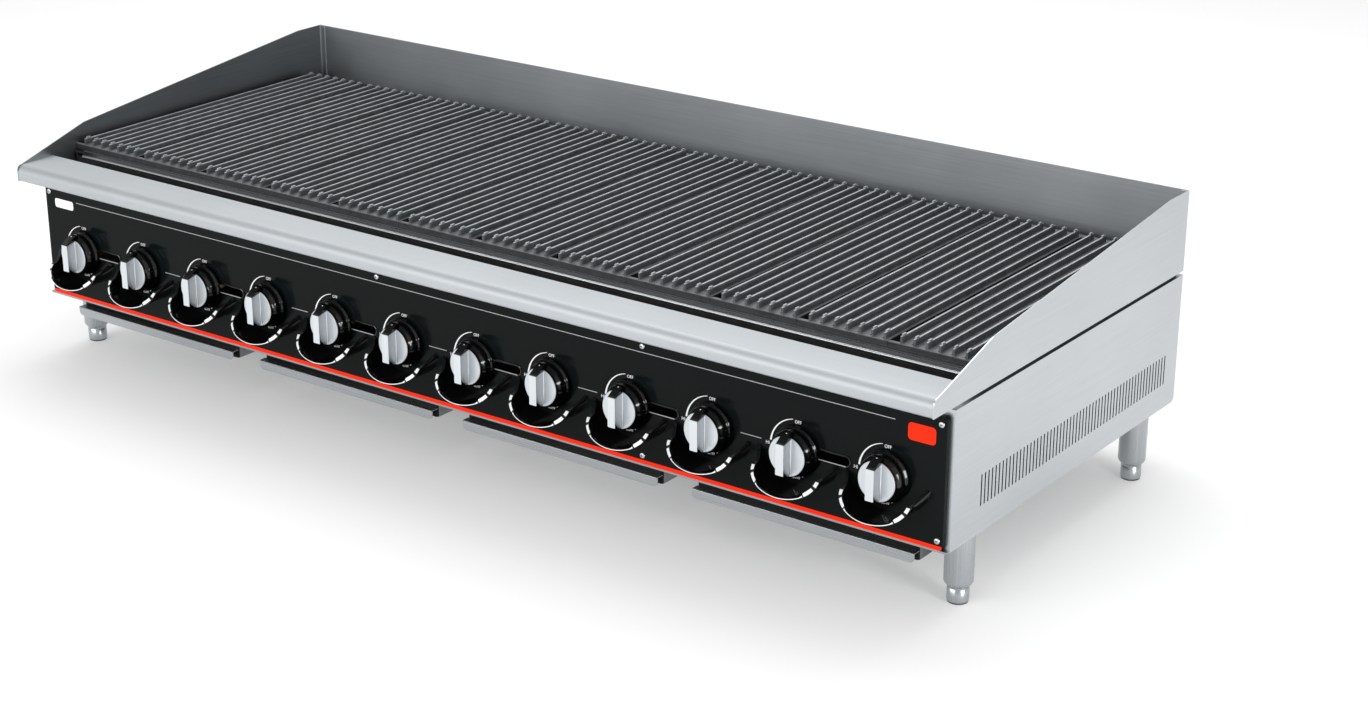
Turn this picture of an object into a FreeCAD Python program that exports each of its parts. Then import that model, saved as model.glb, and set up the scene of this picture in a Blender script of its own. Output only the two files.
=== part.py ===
import FreeCAD, Part
import os
import Sketcher

# A countertop gas charbroiler, 72 inches wide: a burner and a knob every 148 mm,
# and grate sections that fill the width.  Millimetres, +X to the right, +Y to the
# back, +Z up.
# The origin is on the counter, under the middle of the whole appliance.  Every
# depth below is measured from the front edge of the side panels.

DIMENSIONS = {
    # how far joined features reach into each other, and cutters past a face
    "overlap": 1,
    "cutter_reach": 20,
    # outer shell
    "overall_width": 1828.8,
    "body_depth": 697.5,
    "leg_height": 106,
    "body_top": 317.5,
    "sheet_gauge": 1.5,
    "front_flange": 20,
    "top_rail_foot": 290,
    "top_rail_depth": 20,
    "corner_round": 8,
    # vent row in each side panel
    "vent_first": 79.6,
    "vent_pitch": 10.05,
    "vent_count": 58,
    "vent_width": 3.2,
    "vent_sill": 147.5,
    "vent_height": 48,
    # bottom frame
    "rail_gauge": 3,
    "rail_depth": 46,
    "rail_upstand": 22,
    "rear_upstand": 10,
    "side_rail_width": 60,
    "rail_end_gap": 1,
    # control panel
    "panel_half_width": 907,
    "panel_height": 199,
    "panel_proud": 8,
    "panel_round": 6,
    "stem_hole_radius": 6.5,
    "slot_offset": 57,
    "slot_length": 60,
    "slot_height": 13,
    "slot_rise": 3,
    "slot_round": 6.45,
    # front ledge and splashes
    "splash_gauge": 2,
    "splash_foot": 323.5,
    "splash_peak": 454,
    "splash_kink_depth": 95,
    "splash_kink_height": 394.5,
    "splash_level_depth": 635,
    "lip_reach": 59,
    "lip_top": 351,
    "lip_round": 9,
    "lip_back": 22,
    "lip_drop": 15,
    "lip_under": 3,
    # firebox
    "heat_break_inset": 8,
    "firebox_gauge": 3,
    "firebox_front": 66,
    "firebox_rear": 690,
    "firebox_sill": 150,
    "ledge_top": 350,
    "ledge_width": 26,
    "grate_rail_foot": 341.5,
    "grate_rail_top": 352,
    "grate_rail_depth": 14,
    # burners, one behind each knob
    "burner_count": 12,
    "burner_pitch": 148.2,
    "burner_radius": 17.5,
    "burner_bore": 15,
    "burner_height": 230,
    "burner_front": 58,
    "burner_length": 586,
    "burner_cap": 4,
    "support_depth": 16,
    "support_front": 110,
    "support_rear": 600,
    "radiant_half_width": 58,
    "radiant_eave": 285,
    "radiant_rise": 38,
    "radiant_gauge": 5,
    "radiant_ridge_half": 4,
    "radiant_bar_width": 8,
    "radiant_front": 84,
    "radiant_length": 580,
    # grates
    "grate_front": 72,
    "grate_length": 582,
    "grate_pitch": 152,
    "grate_width": 151.4,
    "grate_seat": 352.3,
    "grate_top": 371.2,
    "bar_first": 56,
    "bar_count": 7,
    "bar_pitch": 20.9,
    "bar_setback": 4,
    "bar_half_top": 1.5,
    "bar_half_foot": 2,
    "trough_foot": 355.5,
    "trough_reach": 15.5,
    "trough_top": 361.5,
    "trough_gauge": 3,
    "end_plate": 6,
    "rib_first": 128,
    "rib_pitch": 145,
    "rib_count": 3,
    "rib_width": 6,
    "rib_top": 360,
    "nub_height": 2.8,
    "nub_length": 8,
    "nub_setback": 8,
    # gas train
    "knob_height": 200,
    "manifold_depth": 38,
    "manifold_radius": 13.335,
    "manifold_bore": 10.5,
    "manifold_overhang": 30,
    "manifold_cap": 3,
    "inlet_reach": 40,
    "inlet_bore_depth": 30,
    "inlet_hole_radius": 17.4,
    "inlet_collar_radius": 16.8,
    "inlet_collar_proud": 2,
    "inlet_collar_length": 6,
    "supply_across": 868,
    "supply_height": 135,
    "elbow_radius": 17,
    "elbow_collar": 5,
    "valve_radius": 13,
    "valve_front": 6,
    "stem_radius": 4,
    "stem_bore_clearance": 0.05,
    "valve_bore_depth": 12,
    "stem_lap": 10,
    "spud_radius": 5,
    "spud_depth": 14,
    "spud_length": 56,
    # knobs, measured from the panel face
    "skirt_radius": 34.5,
    "skirt_gap": 3,
    "skirt_front": 27,
    "skirt_round": 1.5,
    "insert_radius": 29.5,
    "insert_proud": 0.8,
    "grip_half_width": 6.5,
    "grip_front": 46,
    "grip_up": 24,
    "grip_down": 24,
    "grip_heel": 31,
    "grip_root": 2,
    "grip_spread": 3,
    "grip_round": 1.2,
    "guard_reach": 62.5,
    "guard_half_width": 57.5,
    "guard_depth": 56,
    "guard_wall": 3,
    "guard_bend_drop": 24,
    "guard_tip_drop": 13,
    "guard_tip_reach": 31,
    # drip trays, each under three burners
    "tray_count": 4,
    "tray_width": 381,
    "tray_front": 15,
    "tray_length": 640,
    "tray_floor": 72.5,
    "tray_rim": 103.5,
    "tray_gauge": 1.5,
    "tray_flange": 4,
    "tray_setback": 20,
    "pull_reach": 13,
    "pull_height": 15.5,
    "runner_gap": 1,
    "runner_drop": 0.3,
    # legs
    "leg_inset": 22,
    "leg_front": 68,
    "leg_rear": 607,
    "leg_radius": 21.7,
    "leg_sleeve_foot": 33,
    "leg_taper": 6,
    "leg_nose_wall": 2,
    "foot_radius": 16.2,
    "foot_clearance": 0.05,
    "foot_lap": 30,
    "foot_travel_room": 10,
    "screw_head_radius": 4.6,
    "screw_head_height": 2.2,
    "screw_radius": 2,
    "screw_length": 13,
    "screw_clearance": 0.05,
    "screw_overshoot": 2,
    "screw_inset": 9,
    "screw_below_top": 12.6,
    "screw_above_foot": 13.5,
    "screw_left": -129.7,
    "screw_right": 392.7,
}

doc = FreeCAD.newDocument("charbroiler")
sheet = doc.addObject("Spreadsheet::Sheet", "Dims")
for row, (alias, size) in enumerate(DIMENSIONS.items(), start=1):
    sheet.set(f"A{row}", alias)
    sheet.set(f"B{row}", str(size))
    sheet.setAlias(f"B{row}", alias)
doc.recompute()

# The side panels' front edges, in the model's frame: the appliance is centred
# between the knob guards' rims and the end of the gas inlet.
FRONT = "-(Dims.body_depth + Dims.inlet_reach - Dims.guard_reach) / 2"
HALF = "Dims.overall_width / 2"
PANEL_SILL = "Dims.leg_height + Dims.rail_gauge"
PANEL_TOP = "Dims.leg_height + Dims.rail_gauge + Dims.panel_height"
TURN_TO_BACK = FreeCAD.Rotation(FreeCAD.Vector(1, 0, 0), -90)
TURN_TO_RIGHT = FreeCAD.Rotation(FreeCAD.Vector(0, 1, 0), 90)
SIDES = {"left": -1, "right": 1}

pieces = []


# ---------------------------------------------------------------- helpers

def size_of(expression):
    """The value of an expression over the sheet."""
    return float(sheet.evalExpression(expression.replace("Dims.", "")))


def bind(obj, sizes):
    """Bind an object's properties to expressions."""
    for name, expression in sizes.items():
        obj.setExpression(name, expression)
    return obj


def seat(obj, across="0", depth="0", height="0", turn=None):
    """Place an object; depth runs back from the side panels' front edges."""
    if turn is not None:
        obj.Placement = FreeCAD.Placement(FreeCAD.Vector(), turn)
    bind(obj, {
        "Placement.Base.x": across,
        "Placement.Base.y": f"{FRONT} + ({depth})",
        "Placement.Base.z": height,
    })
    return obj


def sub_part(obj, label):
    """Name a finished piece, and list it for the export."""
    obj.Label = label
    pieces.append(obj)
    return obj


def block(name, low, high):
    """A box between two corners, each three expressions."""
    obj = doc.addObject("Part::Box", name)
    for axis, first, last in zip(("Length", "Width", "Height"), low, high):
        obj.setExpression(axis, f"({last}) - ({first})")
    return seat(obj, *low)


def rod(name, radius, length, across, depth, height, turn=None):
    """A cylinder from its start point; turn aims its axis, which is +Z."""
    obj = doc.addObject("Part::Cylinder", name)
    bind(obj, {"Radius": radius, "Height": length})
    return seat(obj, across, depth, height, turn)


def joined(name, parts):
    obj = doc.addObject("Part::MultiFuse", name)
    obj.Shapes = parts
    return obj


def cut(name, base, tool):
    obj = doc.addObject("Part::Cut", name)
    obj.Base = base
    obj.Tool = tool
    return obj


def group(name, parts):
    """Several identical solids that share one node."""
    obj = doc.addObject("Part::Compound", name)
    obj.Links = parts
    return obj


def origin_feature(body, role):
    return next(item for item in body.Origin.OriginFeatures if item.Role == role)


def new_body(name, across="0"):
    body = doc.addObject("PartDesign::Body", name)
    return seat(body, across)


def sketch_on(body, plane, name, offset=None):
    """A sketch on one of the body's own planes, moved along its normal."""
    sketch = body.newObject("Sketcher::SketchObject", name)
    sketch.AttachmentSupport = [(origin_feature(body, plane), "")]
    sketch.MapMode = "FlatFace"
    if offset is not None:
        sketch.setExpression("AttachmentOffset.Base.z", offset)
    return sketch


def outline(sketch, corners):
    """A closed outline of straight edges, each corner tied to two expressions."""
    points = [FreeCAD.Vector(size_of(x), size_of(y), 0) for x, y in corners]
    first = sketch.GeometryCount
    count = len(points)
    for index in range(count):
        ends = points[index], points[(index + 1) % count]
        sketch.addGeometry(Part.LineSegment(*ends))
    for index in range(count):
        edge = first + index
        following = first + (index + 1) % count
        sketch.addConstraint(Sketcher.Constraint("Coincident", edge, 2, following, 1))
    for index, (x, y) in enumerate(corners):
        for kind, expression in (("DistanceX", x), ("DistanceY", y)):
            value = size_of(expression)
            rule = Sketcher.Constraint(kind, -1, 1, first + index, 1, value)
            number = sketch.addConstraint(rule)
            sketch.setExpression(f"Constraints[{number}]", expression)


def circle(sketch, x, y, radius):
    """A circle tied to expressions for its centre and radius."""
    centre = FreeCAD.Vector(size_of(x), size_of(y), 0)
    ring = Part.Circle(centre, FreeCAD.Vector(0, 0, 1), size_of(radius))
    edge = sketch.addGeometry(ring)
    rules = (("DistanceX", x), ("DistanceY", y))
    for kind, expression in rules:
        rule = Sketcher.Constraint(kind, -1, 1, edge, 3, size_of(expression))
        number = sketch.addConstraint(rule)
        sketch.setExpression(f"Constraints[{number}]", expression)
    number = sketch.addConstraint(Sketcher.Constraint("Radius", edge, size_of(radius)))
    sketch.setExpression(f"Constraints[{number}]", radius)


def rectangle(left, bottom, right, top):
    return [(left, bottom), (right, bottom), (right, top), (left, top)]


def pad(body, sketch, length, reverse=False, both_ways=False):
    feature = body.newObject("PartDesign::Pad", sketch.Name + "Pad")
    feature.Profile = sketch
    feature.setExpression("Length", length)
    feature.Reversed = reverse
    feature.Midplane = both_ways
    return feature


def pocket(body, sketch, length, reverse=False):
    """Cut a sketch into the body, and make sure that metal was removed."""
    doc.recompute()
    before = body.Shape.Volume
    feature = body.newObject("PartDesign::Pocket", sketch.Name + "Pocket")
    feature.Profile = sketch
    feature.setExpression("Length", length)
    feature.Reversed = reverse
    doc.recompute()
    if body.Shape.Volume >= before - 1e-6:
        raise RuntimeError(f"{feature.Name} cut nothing")
    return feature


def row_of(body, feature, direction, step, count):
    """Repeat a feature along one of the body's own axes."""
    pattern = body.newObject("PartDesign::LinearPattern", feature.Name + "Row")
    pattern.Originals = [feature]
    pattern.Direction = (origin_feature(body, direction), [""])
    pattern.setExpression("Length", f"({step}) * ({count} - 1)")
    pattern.setExpression("Occurrences", count)
    body.Tip = pattern
    return pattern


def round_edges(body, feature, radius, chosen):
    """Round the edges whose middle point passes the test."""
    doc.recompute()
    names = []
    for number, edge in enumerate(feature.Shape.Edges, start=1):
        middle = edge.valueAt((edge.FirstParameter + edge.LastParameter) / 2)
        if chosen(edge, middle):
            names.append(f"Edge{number}")
    if not names:
        raise RuntimeError(f"no edge to round on {feature.Name}")
    fillet = body.newObject("PartDesign::Fillet", feature.Name + "Round")
    fillet.Base = (feature, names)
    fillet.setExpression("Radius", radius)
    return fillet


def along(edge, axis):
    """True for a straight edge that runs along one axis."""
    ends = [vertex.Point for vertex in edge.Vertexes]
    if len(ends) != 2:
        return False
    run = ends[1] - ends[0]
    return abs(abs(getattr(run, axis)) - run.Length) < 1e-6


def near(value, target, slack=0.05):
    return abs(value - target) < slack


def burner_across(number):
    """The middle of a burner, counted from 0 at the left."""
    return f"({number} - (Dims.burner_count - 1) / 2) * Dims.burner_pitch"


BURNERS = range(round(size_of("Dims.burner_count")))
TRAYS = range(round(size_of("Dims.tray_count")))


# ---------------------------------------------------------- outer shell

def side_panel(side, sign, bores):
    """A sheet with front and top flanges folded inwards and a row of vents."""
    name = side.capitalize() + "Panel"
    body = new_body(name, f"{sign} * {HALF}")
    gauge = "Dims.sheet_gauge"
    sheet_face = sketch_on(body, "YZ_Plane", name + "Sheet")
    edges = rectangle("0", "Dims.leg_height", "Dims.body_depth", "Dims.body_top")
    outline(sheet_face, edges)
    plate = pad(body, sheet_face, gauge, reverse=sign > 0)
    depth, foot = size_of("Dims.body_depth"), size_of("Dims.leg_height")

    def low_back(edge, middle):
        return along(edge, "x") and near(middle.y, depth) and near(middle.z, foot)

    round_edges(body, plate, "Dims.corner_round", low_back)

    front = sketch_on(body, "XZ_Plane", name + "Flange")
    edges = rectangle("0", "Dims.leg_height", f"{-sign} * Dims.front_flange", "Dims.body_top")
    outline(front, edges)
    pad(body, front, gauge, reverse=True)

    top = sketch_on(body, "XY_Plane", name + "Top", f"Dims.body_top - {gauge}")
    edges = rectangle("0", "0", f"{-sign} * Dims.heat_break_inset", "Dims.body_depth")
    outline(top, edges)
    pad(body, top, gauge)

    vent = sketch_on(body, "YZ_Plane", name + "Vent")
    last = "Dims.vent_first + Dims.vent_width"
    peak = "Dims.vent_sill + Dims.vent_height"
    outline(vent, rectangle("Dims.vent_first", "Dims.vent_sill", last, peak))
    hole = pocket(body, vent, f"2 * {gauge}", reverse=sign < 0)
    row_of(body, hole, "Y_Axis", "Dims.vent_pitch", "Dims.vent_count")
    return sub_part(cut(name + "Pierced", body, bores), f"{side}_side_panel")


def back_panel():
    """The rear sheet between the side panels, with a hole for the gas pipe."""
    inner = f"({HALF} - Dims.sheet_gauge)"
    low = (f"-{inner}", "Dims.body_depth - Dims.sheet_gauge", PANEL_SILL)
    high = (inner, "Dims.body_depth", "Dims.body_top - Dims.sheet_gauge")
    plate = block("BackSheet", low, high)
    top = "Dims.body_top - Dims.sheet_gauge"
    firebox = f"({HALF} - Dims.heat_break_inset)"
    flange = block("BackFlange", (f"-{firebox}", "Dims.firebox_rear", f"{top} - Dims.sheet_gauge"),
                   (firebox, "Dims.body_depth", top))
    hole = rod("InletHole", "Dims.inlet_hole_radius", "2 * Dims.cutter_reach",
               "Dims.supply_across", "Dims.body_depth - Dims.cutter_reach",
               "Dims.supply_height", TURN_TO_BACK)
    folded = joined("BackFolded", [plate, flange])
    return sub_part(cut("BackPanel", folded, hole), "back_panel")


def cross_rail(side, low_depth, high_depth, web_depth, upstand, bores):
    """A front or rear angle of the bottom frame: a flat foot and an upstand."""
    name = side.capitalize() + "Rail"
    reach = HALF if side == "front" else f"({HALF} - Dims.sheet_gauge)"
    inner = f"({HALF} - Dims.front_flange - Dims.rail_end_gap)"
    foot = block(name + "Foot", (f"-{reach}", low_depth, "Dims.leg_height"),
                 (reach, high_depth, PANEL_SILL))
    top = f"{PANEL_SILL} + {upstand}"
    web = block(name + "Web", (f"-{inner}", web_depth, PANEL_SILL),
                (inner, f"{web_depth} + Dims.rail_gauge", top))
    if side == "front":
        corners = [block(f"{name}Corner{mark}", (low, "0", "Dims.leg_height"),
                         (high, "Dims.rail_depth", PANEL_SILL))
                   for mark, low, high in (
                       ("Left", f"-{HALF}", f"-({HALF} - Dims.front_flange)"),
                       ("Right", f"{HALF} - Dims.front_flange", HALF))]
        foot = cut(name + "Notched", foot, group(name + "Notches", corners))
        web = cut(name + "Pierced", web, bores)
    return sub_part(joined(name, [foot, web]), f"{side}_bottom_rail")


def top_rail(bores):
    """An angle across the front, behind the top edge of the control panel."""
    reach = f"({HALF} - Dims.front_flange)"
    gauge = "Dims.sheet_gauge"
    face = block("TopRailFace", (f"-{reach}", "0", "Dims.top_rail_foot"),
                 (reach, gauge, "Dims.body_top"))
    shelf = block("TopRailShelf", (f"-{reach}", "0", f"Dims.body_top - {gauge}"),
                  (reach, "Dims.top_rail_depth", "Dims.body_top"))
    rail = joined("TopRail", [face, shelf])
    return sub_part(cut("TopRailPierced", rail, bores), "front_top_rail")


def side_rails():
    """Flat rails under both sides that carry the legs."""
    outer = f"({HALF} - Dims.sheet_gauge)"
    inner = f"({HALF} - Dims.sheet_gauge - Dims.side_rail_width)"
    rails = []
    for side, sign in SIDES.items():
        low, high = (inner, outer) if sign > 0 else (f"-{outer}", f"-{inner}")
        near_end = (low, "Dims.rail_depth", "Dims.leg_height")
        far_end = (high, "Dims.body_depth - Dims.rail_depth", PANEL_SILL)
        rails.append(block(side.capitalize() + "BottomRail", near_end, far_end))
    return sub_part(group("SideRails", rails), "side_bottom_rails")


def control_panel(bores):
    """A folded pan with a hole for every stem and a slot beside every other one."""
    body = new_body("ControlPanel")
    face = sketch_on(body, "XZ_Plane", "PanelFace")
    half = "Dims.panel_half_width"
    outline(face, rectangle(f"-{half}", PANEL_SILL, half, PANEL_TOP))
    plate = pad(body, face, "Dims.panel_proud")

    def corner(edge, middle):
        return along(edge, "y")

    round_edges(body, plate, "Dims.panel_round", corner)
    inside = sketch_on(body, "XZ_Plane", "PanelInside")
    wall = "Dims.sheet_gauge"
    edges = rectangle(f"-({half} - {wall})", f"{PANEL_SILL} + {wall}",
                      f"{half} - {wall}", f"{PANEL_TOP} - {wall}")
    outline(inside, edges)
    pocket(body, inside, f"Dims.panel_proud - {wall}", reverse=True)

    holes = sketch_on(body, "XZ_Plane", "StemHoles")
    for number in BURNERS:
        circle(holes, burner_across(number), "Dims.knob_height", "Dims.stem_hole_radius")
    pocket(body, holes, "Dims.panel_proud + Dims.overlap", reverse=True)

    slots = sketch_on(body, "XZ_Plane", "AccessSlots")
    low = "Dims.knob_height + Dims.slot_rise - Dims.slot_height / 2"
    for number in BURNERS[::2]:
        middle = f"{burner_across(number)} + Dims.slot_offset"
        edges = rectangle(f"{middle} - Dims.slot_length / 2", low,
                          f"{middle} + Dims.slot_length / 2", f"{low} + Dims.slot_height")
        outline(slots, edges)
    opened = pocket(body, slots, "Dims.panel_proud + Dims.overlap", reverse=True)
    floor, height = size_of(low), size_of("Dims.slot_height")

    def slot_corner(edge, middle):
        at_corner = near(middle.z, floor) or near(middle.z, floor + height)
        return along(edge, "y") and at_corner

    round_edges(body, opened, "Dims.slot_round", slot_corner)
    return sub_part(cut("PanelPierced", body, bores), "control_panel")


def screw_places():
    """Across and height of each screw along the control panel's edges."""
    edge = "(Dims.panel_half_width - Dims.screw_inset)"
    high = f"{PANEL_TOP} - Dims.screw_below_top"
    low = f"{PANEL_SILL} + Dims.screw_above_foot"
    left, right = "Dims.screw_left", "Dims.screw_right"
    corners = [(f"{sign} * {edge}", height) for sign in (-1, 1) for height in (low, high)]
    return corners + [(left, high), (right, high), (left, low), (right, low)]


def screw_bores():
    """The holes that the panel screws pass through."""
    radius = "Dims.screw_radius + Dims.screw_clearance"
    holes = [rod(f"ScrewBore{number}", radius, "Dims.screw_length + 2 * Dims.screw_overshoot",
                 across, "-Dims.panel_proud - Dims.screw_overshoot", height, TURN_TO_BACK)
             for number, (across, height) in enumerate(screw_places())]
    return group("ScrewBores", holes)


def panel_screws():
    """Pan-head screws that hold the control panel to the frame behind it."""
    screws = []
    for number, (across, height) in enumerate(screw_places()):
        start = "-Dims.panel_proud - Dims.screw_head_height"
        head = rod(f"ScrewHead{number}", "Dims.screw_head_radius", "Dims.screw_head_height",
                   across, start, height, TURN_TO_BACK)
        shank = rod(f"ScrewShank{number}", "Dims.screw_radius", "Dims.screw_length",
                    across, "-Dims.panel_proud", height, TURN_TO_BACK)
        screws.append(joined(f"Screw{number}", [head, shank]))
    return sub_part(group("PanelScrews", screws), "panel_screws")


# --------------------------------------------- front ledge and splashes

def front_lip():
    """The rolled ledge in front of the grates, open underneath."""
    body = new_body("FrontLip")
    gauge = "Dims.splash_gauge"
    section = sketch_on(body, "YZ_Plane", "LipSection")
    outline(section, [
        ("-Dims.lip_under", "Dims.splash_foot"),
        ("-Dims.lip_reach", "Dims.splash_foot"),
        ("-Dims.lip_reach", "Dims.lip_top"),
        ("Dims.lip_back", "Dims.lip_top"),
        ("Dims.lip_back", "Dims.lip_top - Dims.lip_drop"),
        (f"Dims.lip_back - {gauge}", "Dims.lip_top - Dims.lip_drop"),
        (f"Dims.lip_back - {gauge}", f"Dims.lip_top - {gauge}"),
        (f"-Dims.lip_reach + {gauge}", f"Dims.lip_top - {gauge}"),
        (f"-Dims.lip_reach + {gauge}", f"Dims.splash_foot + {gauge}"),
        ("-Dims.lip_under", f"Dims.splash_foot + {gauge}"),
    ])
    roll = pad(body, section, f"2 * ({HALF} - {gauge})", both_ways=True)
    nose, top = -size_of("Dims.lip_reach"), size_of("Dims.lip_top")
    thick = size_of(gauge)

    def outer_nose(edge, middle):
        return along(edge, "x") and near(middle.y, nose) and near(middle.z, top)

    def inner_nose(edge, middle):
        inside = near(middle.y, nose + thick) and near(middle.z, top - thick)
        return along(edge, "x") and inside

    outer = round_edges(body, roll, "Dims.lip_round", outer_nose)
    round_edges(body, outer, f"Dims.lip_round - {gauge}", inner_nose)
    return sub_part(body, "front_lip")


def side_splash(side, sign):
    """A side guard that starts at the ledge and rises in two slopes."""
    name = side.capitalize() + "Splash"
    body = new_body(name, f"{sign} * {HALF}")
    shape = sketch_on(body, "YZ_Plane", name + "Shape")
    outline(shape, [
        ("-Dims.lip_reach", "Dims.splash_foot"),
        ("Dims.body_depth", "Dims.splash_foot"),
        ("Dims.body_depth", "Dims.splash_peak"),
        ("Dims.splash_level_depth", "Dims.splash_peak"),
        ("Dims.splash_kink_depth", "Dims.splash_kink_height"),
        ("-Dims.lip_reach + Dims.lip_round", "Dims.lip_top"),
        ("-Dims.lip_reach", "Dims.lip_top"),
    ])
    plate = pad(body, shape, "Dims.splash_gauge", reverse=sign > 0)
    nose, top = -size_of("Dims.lip_reach"), size_of("Dims.lip_top")

    def front_corner(edge, middle):
        return along(edge, "x") and near(middle.y, nose) and near(middle.z, top)

    round_edges(body, plate, "Dims.lip_round - 0.5", front_corner)
    return sub_part(body, f"{side}_splash")


def back_splash():
    inner = f"({HALF} - Dims.splash_gauge)"
    low = (f"-{inner}", "Dims.body_depth - Dims.splash_gauge", "Dims.splash_foot")
    high = (inner, "Dims.body_depth", "Dims.splash_peak")
    return sub_part(block("BackSplash", low, high), "back_splash")


# ----------------------------------------------------------------- firebox

def firebox_side(side, sign):
    """A side wall of the firebox; its top flange closes the gap to the splash."""
    name = side.capitalize() + "FireboxWall"
    body = new_body(name, f"{sign} * ({HALF} - Dims.heat_break_inset)")
    section = sketch_on(body, "XZ_Plane", name + "Section", "-Dims.firebox_front")
    gauge = "Dims.firebox_gauge"
    splash = "(Dims.heat_break_inset - Dims.splash_gauge)"
    inner = "(Dims.ledge_width - Dims.heat_break_inset)"
    across = {
        "wall": "0", "face": f"{-sign} * {gauge}",
        "splash": f"{sign} * {splash}", "inner": f"{-sign} * {inner}",
    }
    outline(section, [
        (across["wall"], "Dims.firebox_sill"),
        (across["wall"], f"Dims.ledge_top - {gauge}"),
        (across["splash"], f"Dims.ledge_top - {gauge}"),
        (across["splash"], "Dims.ledge_top"),
        (across["inner"], "Dims.ledge_top"),
        (across["inner"], f"Dims.ledge_top - {gauge}"),
        (across["face"], f"Dims.ledge_top - {gauge}"),
        (across["face"], "Dims.firebox_sill"),
    ])
    pad(body, section, "Dims.firebox_rear - Dims.firebox_front", reverse=True)
    return sub_part(body, f"firebox_{side}_wall")


FIREBOX_HALF = f"({HALF} - Dims.heat_break_inset - Dims.firebox_gauge)"
GRATE_HALF = f"({HALF} - Dims.ledge_width)"


def firebox_front_wall():
    """The front wall, with a hole for the mouth of every burner."""
    low = (f"-{FIREBOX_HALF}", "Dims.firebox_front", "Dims.firebox_sill")
    high = (FIREBOX_HALF, "Dims.firebox_front + Dims.firebox_gauge", "Dims.grate_rail_foot")
    mouths = [rod(f"BurnerMouth{number}", "Dims.burner_radius", "2 * Dims.cutter_reach",
                  burner_across(number), "Dims.firebox_front - Dims.cutter_reach",
                  "Dims.burner_height", TURN_TO_BACK)
              for number in BURNERS]
    wall = cut("FireboxFront", block("FireboxFrontSheet", low, high), group("Mouths", mouths))
    return sub_part(wall, "firebox_front_wall")


def firebox_rear_wall():
    """The rear wall; its top flange reaches back to the splash."""
    gauge = "Dims.firebox_gauge"
    top = f"Dims.ledge_top - {gauge}"
    wall = block("FireboxRearSheet",
                 (f"-{FIREBOX_HALF}", f"Dims.firebox_rear - {gauge}", "Dims.firebox_sill"),
                 (FIREBOX_HALF, "Dims.firebox_rear", top))
    flange = block("FireboxRearFlange", (f"-{GRATE_HALF}", f"Dims.firebox_rear - {gauge}", top),
                   (GRATE_HALF, "Dims.body_depth - Dims.splash_gauge", "Dims.ledge_top"))
    return sub_part(joined("FireboxRear", [wall, flange]), "firebox_rear_wall")


def grate_rails():
    """Two bars across the firebox that the grates' ends rest on."""
    rear = "Dims.firebox_rear - Dims.firebox_gauge"
    spans = {"Front": ("Dims.firebox_front", "Dims.firebox_front + Dims.grate_rail_depth"),
             "Rear": (f"{rear} - 3 * Dims.grate_rail_depth", rear)}
    bars = [block(f"GrateRail{end}", (f"-{GRATE_HALF}", near_depth, "Dims.grate_rail_foot"),
                  (GRATE_HALF, far_depth, "Dims.grate_rail_top"))
            for end, (near_depth, far_depth) in spans.items()]
    return sub_part(group("GrateRails", bars), "grate_rails")


def burner_supports():
    """Flat bars across the firebox, two under the burners and two under the radiants."""
    burner_foot = "Dims.burner_height - Dims.burner_radius"
    width = "Dims.radiant_bar_width"
    last = f"Dims.radiant_front + Dims.radiant_length - {width}"
    bars = []
    for name, depth, run, top in (
            ("BurnerBarFront", "Dims.support_front", "Dims.support_depth", burner_foot),
            ("BurnerBarRear", "Dims.support_rear", "Dims.support_depth", burner_foot),
            ("RadiantBarFront", "Dims.radiant_front", width, "Dims.radiant_eave"),
            ("RadiantBarRear", last, width, "Dims.radiant_eave")):
        low = (f"-{FIREBOX_HALF}", depth, f"{top} - Dims.firebox_gauge")
        bars.append(block(name, low, (FIREBOX_HALF, f"{depth} + {run}", top)))
    return sub_part(group("BurnerSupports", bars), "burner_supports")


def burners():
    """Straight tube burners with closed back ends."""
    tubes = []
    for number in BURNERS:
        across = burner_across(number)
        tube = rod(f"BurnerTube{number}", "Dims.burner_radius", "Dims.burner_length",
                   across, "Dims.burner_front", "Dims.burner_height", TURN_TO_BACK)
        bore = rod(f"BurnerBore{number}", "Dims.burner_bore", "Dims.burner_length - Dims.burner_cap",
                   across, "Dims.burner_front", "Dims.burner_height", TURN_TO_BACK)
        tubes.append(cut(f"Burner{number}", tube, bore))
    return sub_part(group("Burners", tubes), "burners")


def radiants():
    """Cast roof-shaped heat radiants, one over each burner."""
    roofs = []
    half, gauge = "Dims.radiant_half_width", "Dims.radiant_gauge"
    eave, ridge = "Dims.radiant_eave", "Dims.radiant_eave + Dims.radiant_rise"
    for number in BURNERS:
        body = new_body(f"Radiant{number}", burner_across(number))
        section = sketch_on(body, "XZ_Plane", f"RadiantSection{number}", "-Dims.radiant_front")
        outline(section, [
            (f"-{half}", eave), (f"-{half} + {gauge}", eave),
            ("0", f"{ridge} - {gauge}"), (f"{half} - {gauge}", eave),
            (half, eave), ("Dims.radiant_ridge_half", ridge), ("-Dims.radiant_ridge_half", ridge),
        ])
        pad(body, section, "Dims.radiant_length", reverse=True)
        roofs.append(body)
    return sub_part(group("Radiants", roofs), "radiants")


# ------------------------------------------------------------------ grates

def grate_across(number):
    """The middle of a grate section, counted from 0 at the left."""
    return f"({number} - (Dims.burner_count - 1) / 2) * Dims.grate_pitch"


def bar_section(across, reach):
    """An upright wall with a ledge on its right that catches grease."""
    ledge, top = "Dims.trough_top", "Dims.grate_top"
    return [
        (f"{across} - Dims.bar_half_foot", "Dims.trough_foot"),
        (f"{across} + {reach}", f"{ledge} - Dims.trough_gauge"),
        (f"{across} + {reach}", ledge),
        (f"{across} + Dims.bar_half_foot", ledge),
        (f"{across} + Dims.bar_half_top", top),
        (f"{across} - Dims.bar_half_top", top),
    ]


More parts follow.
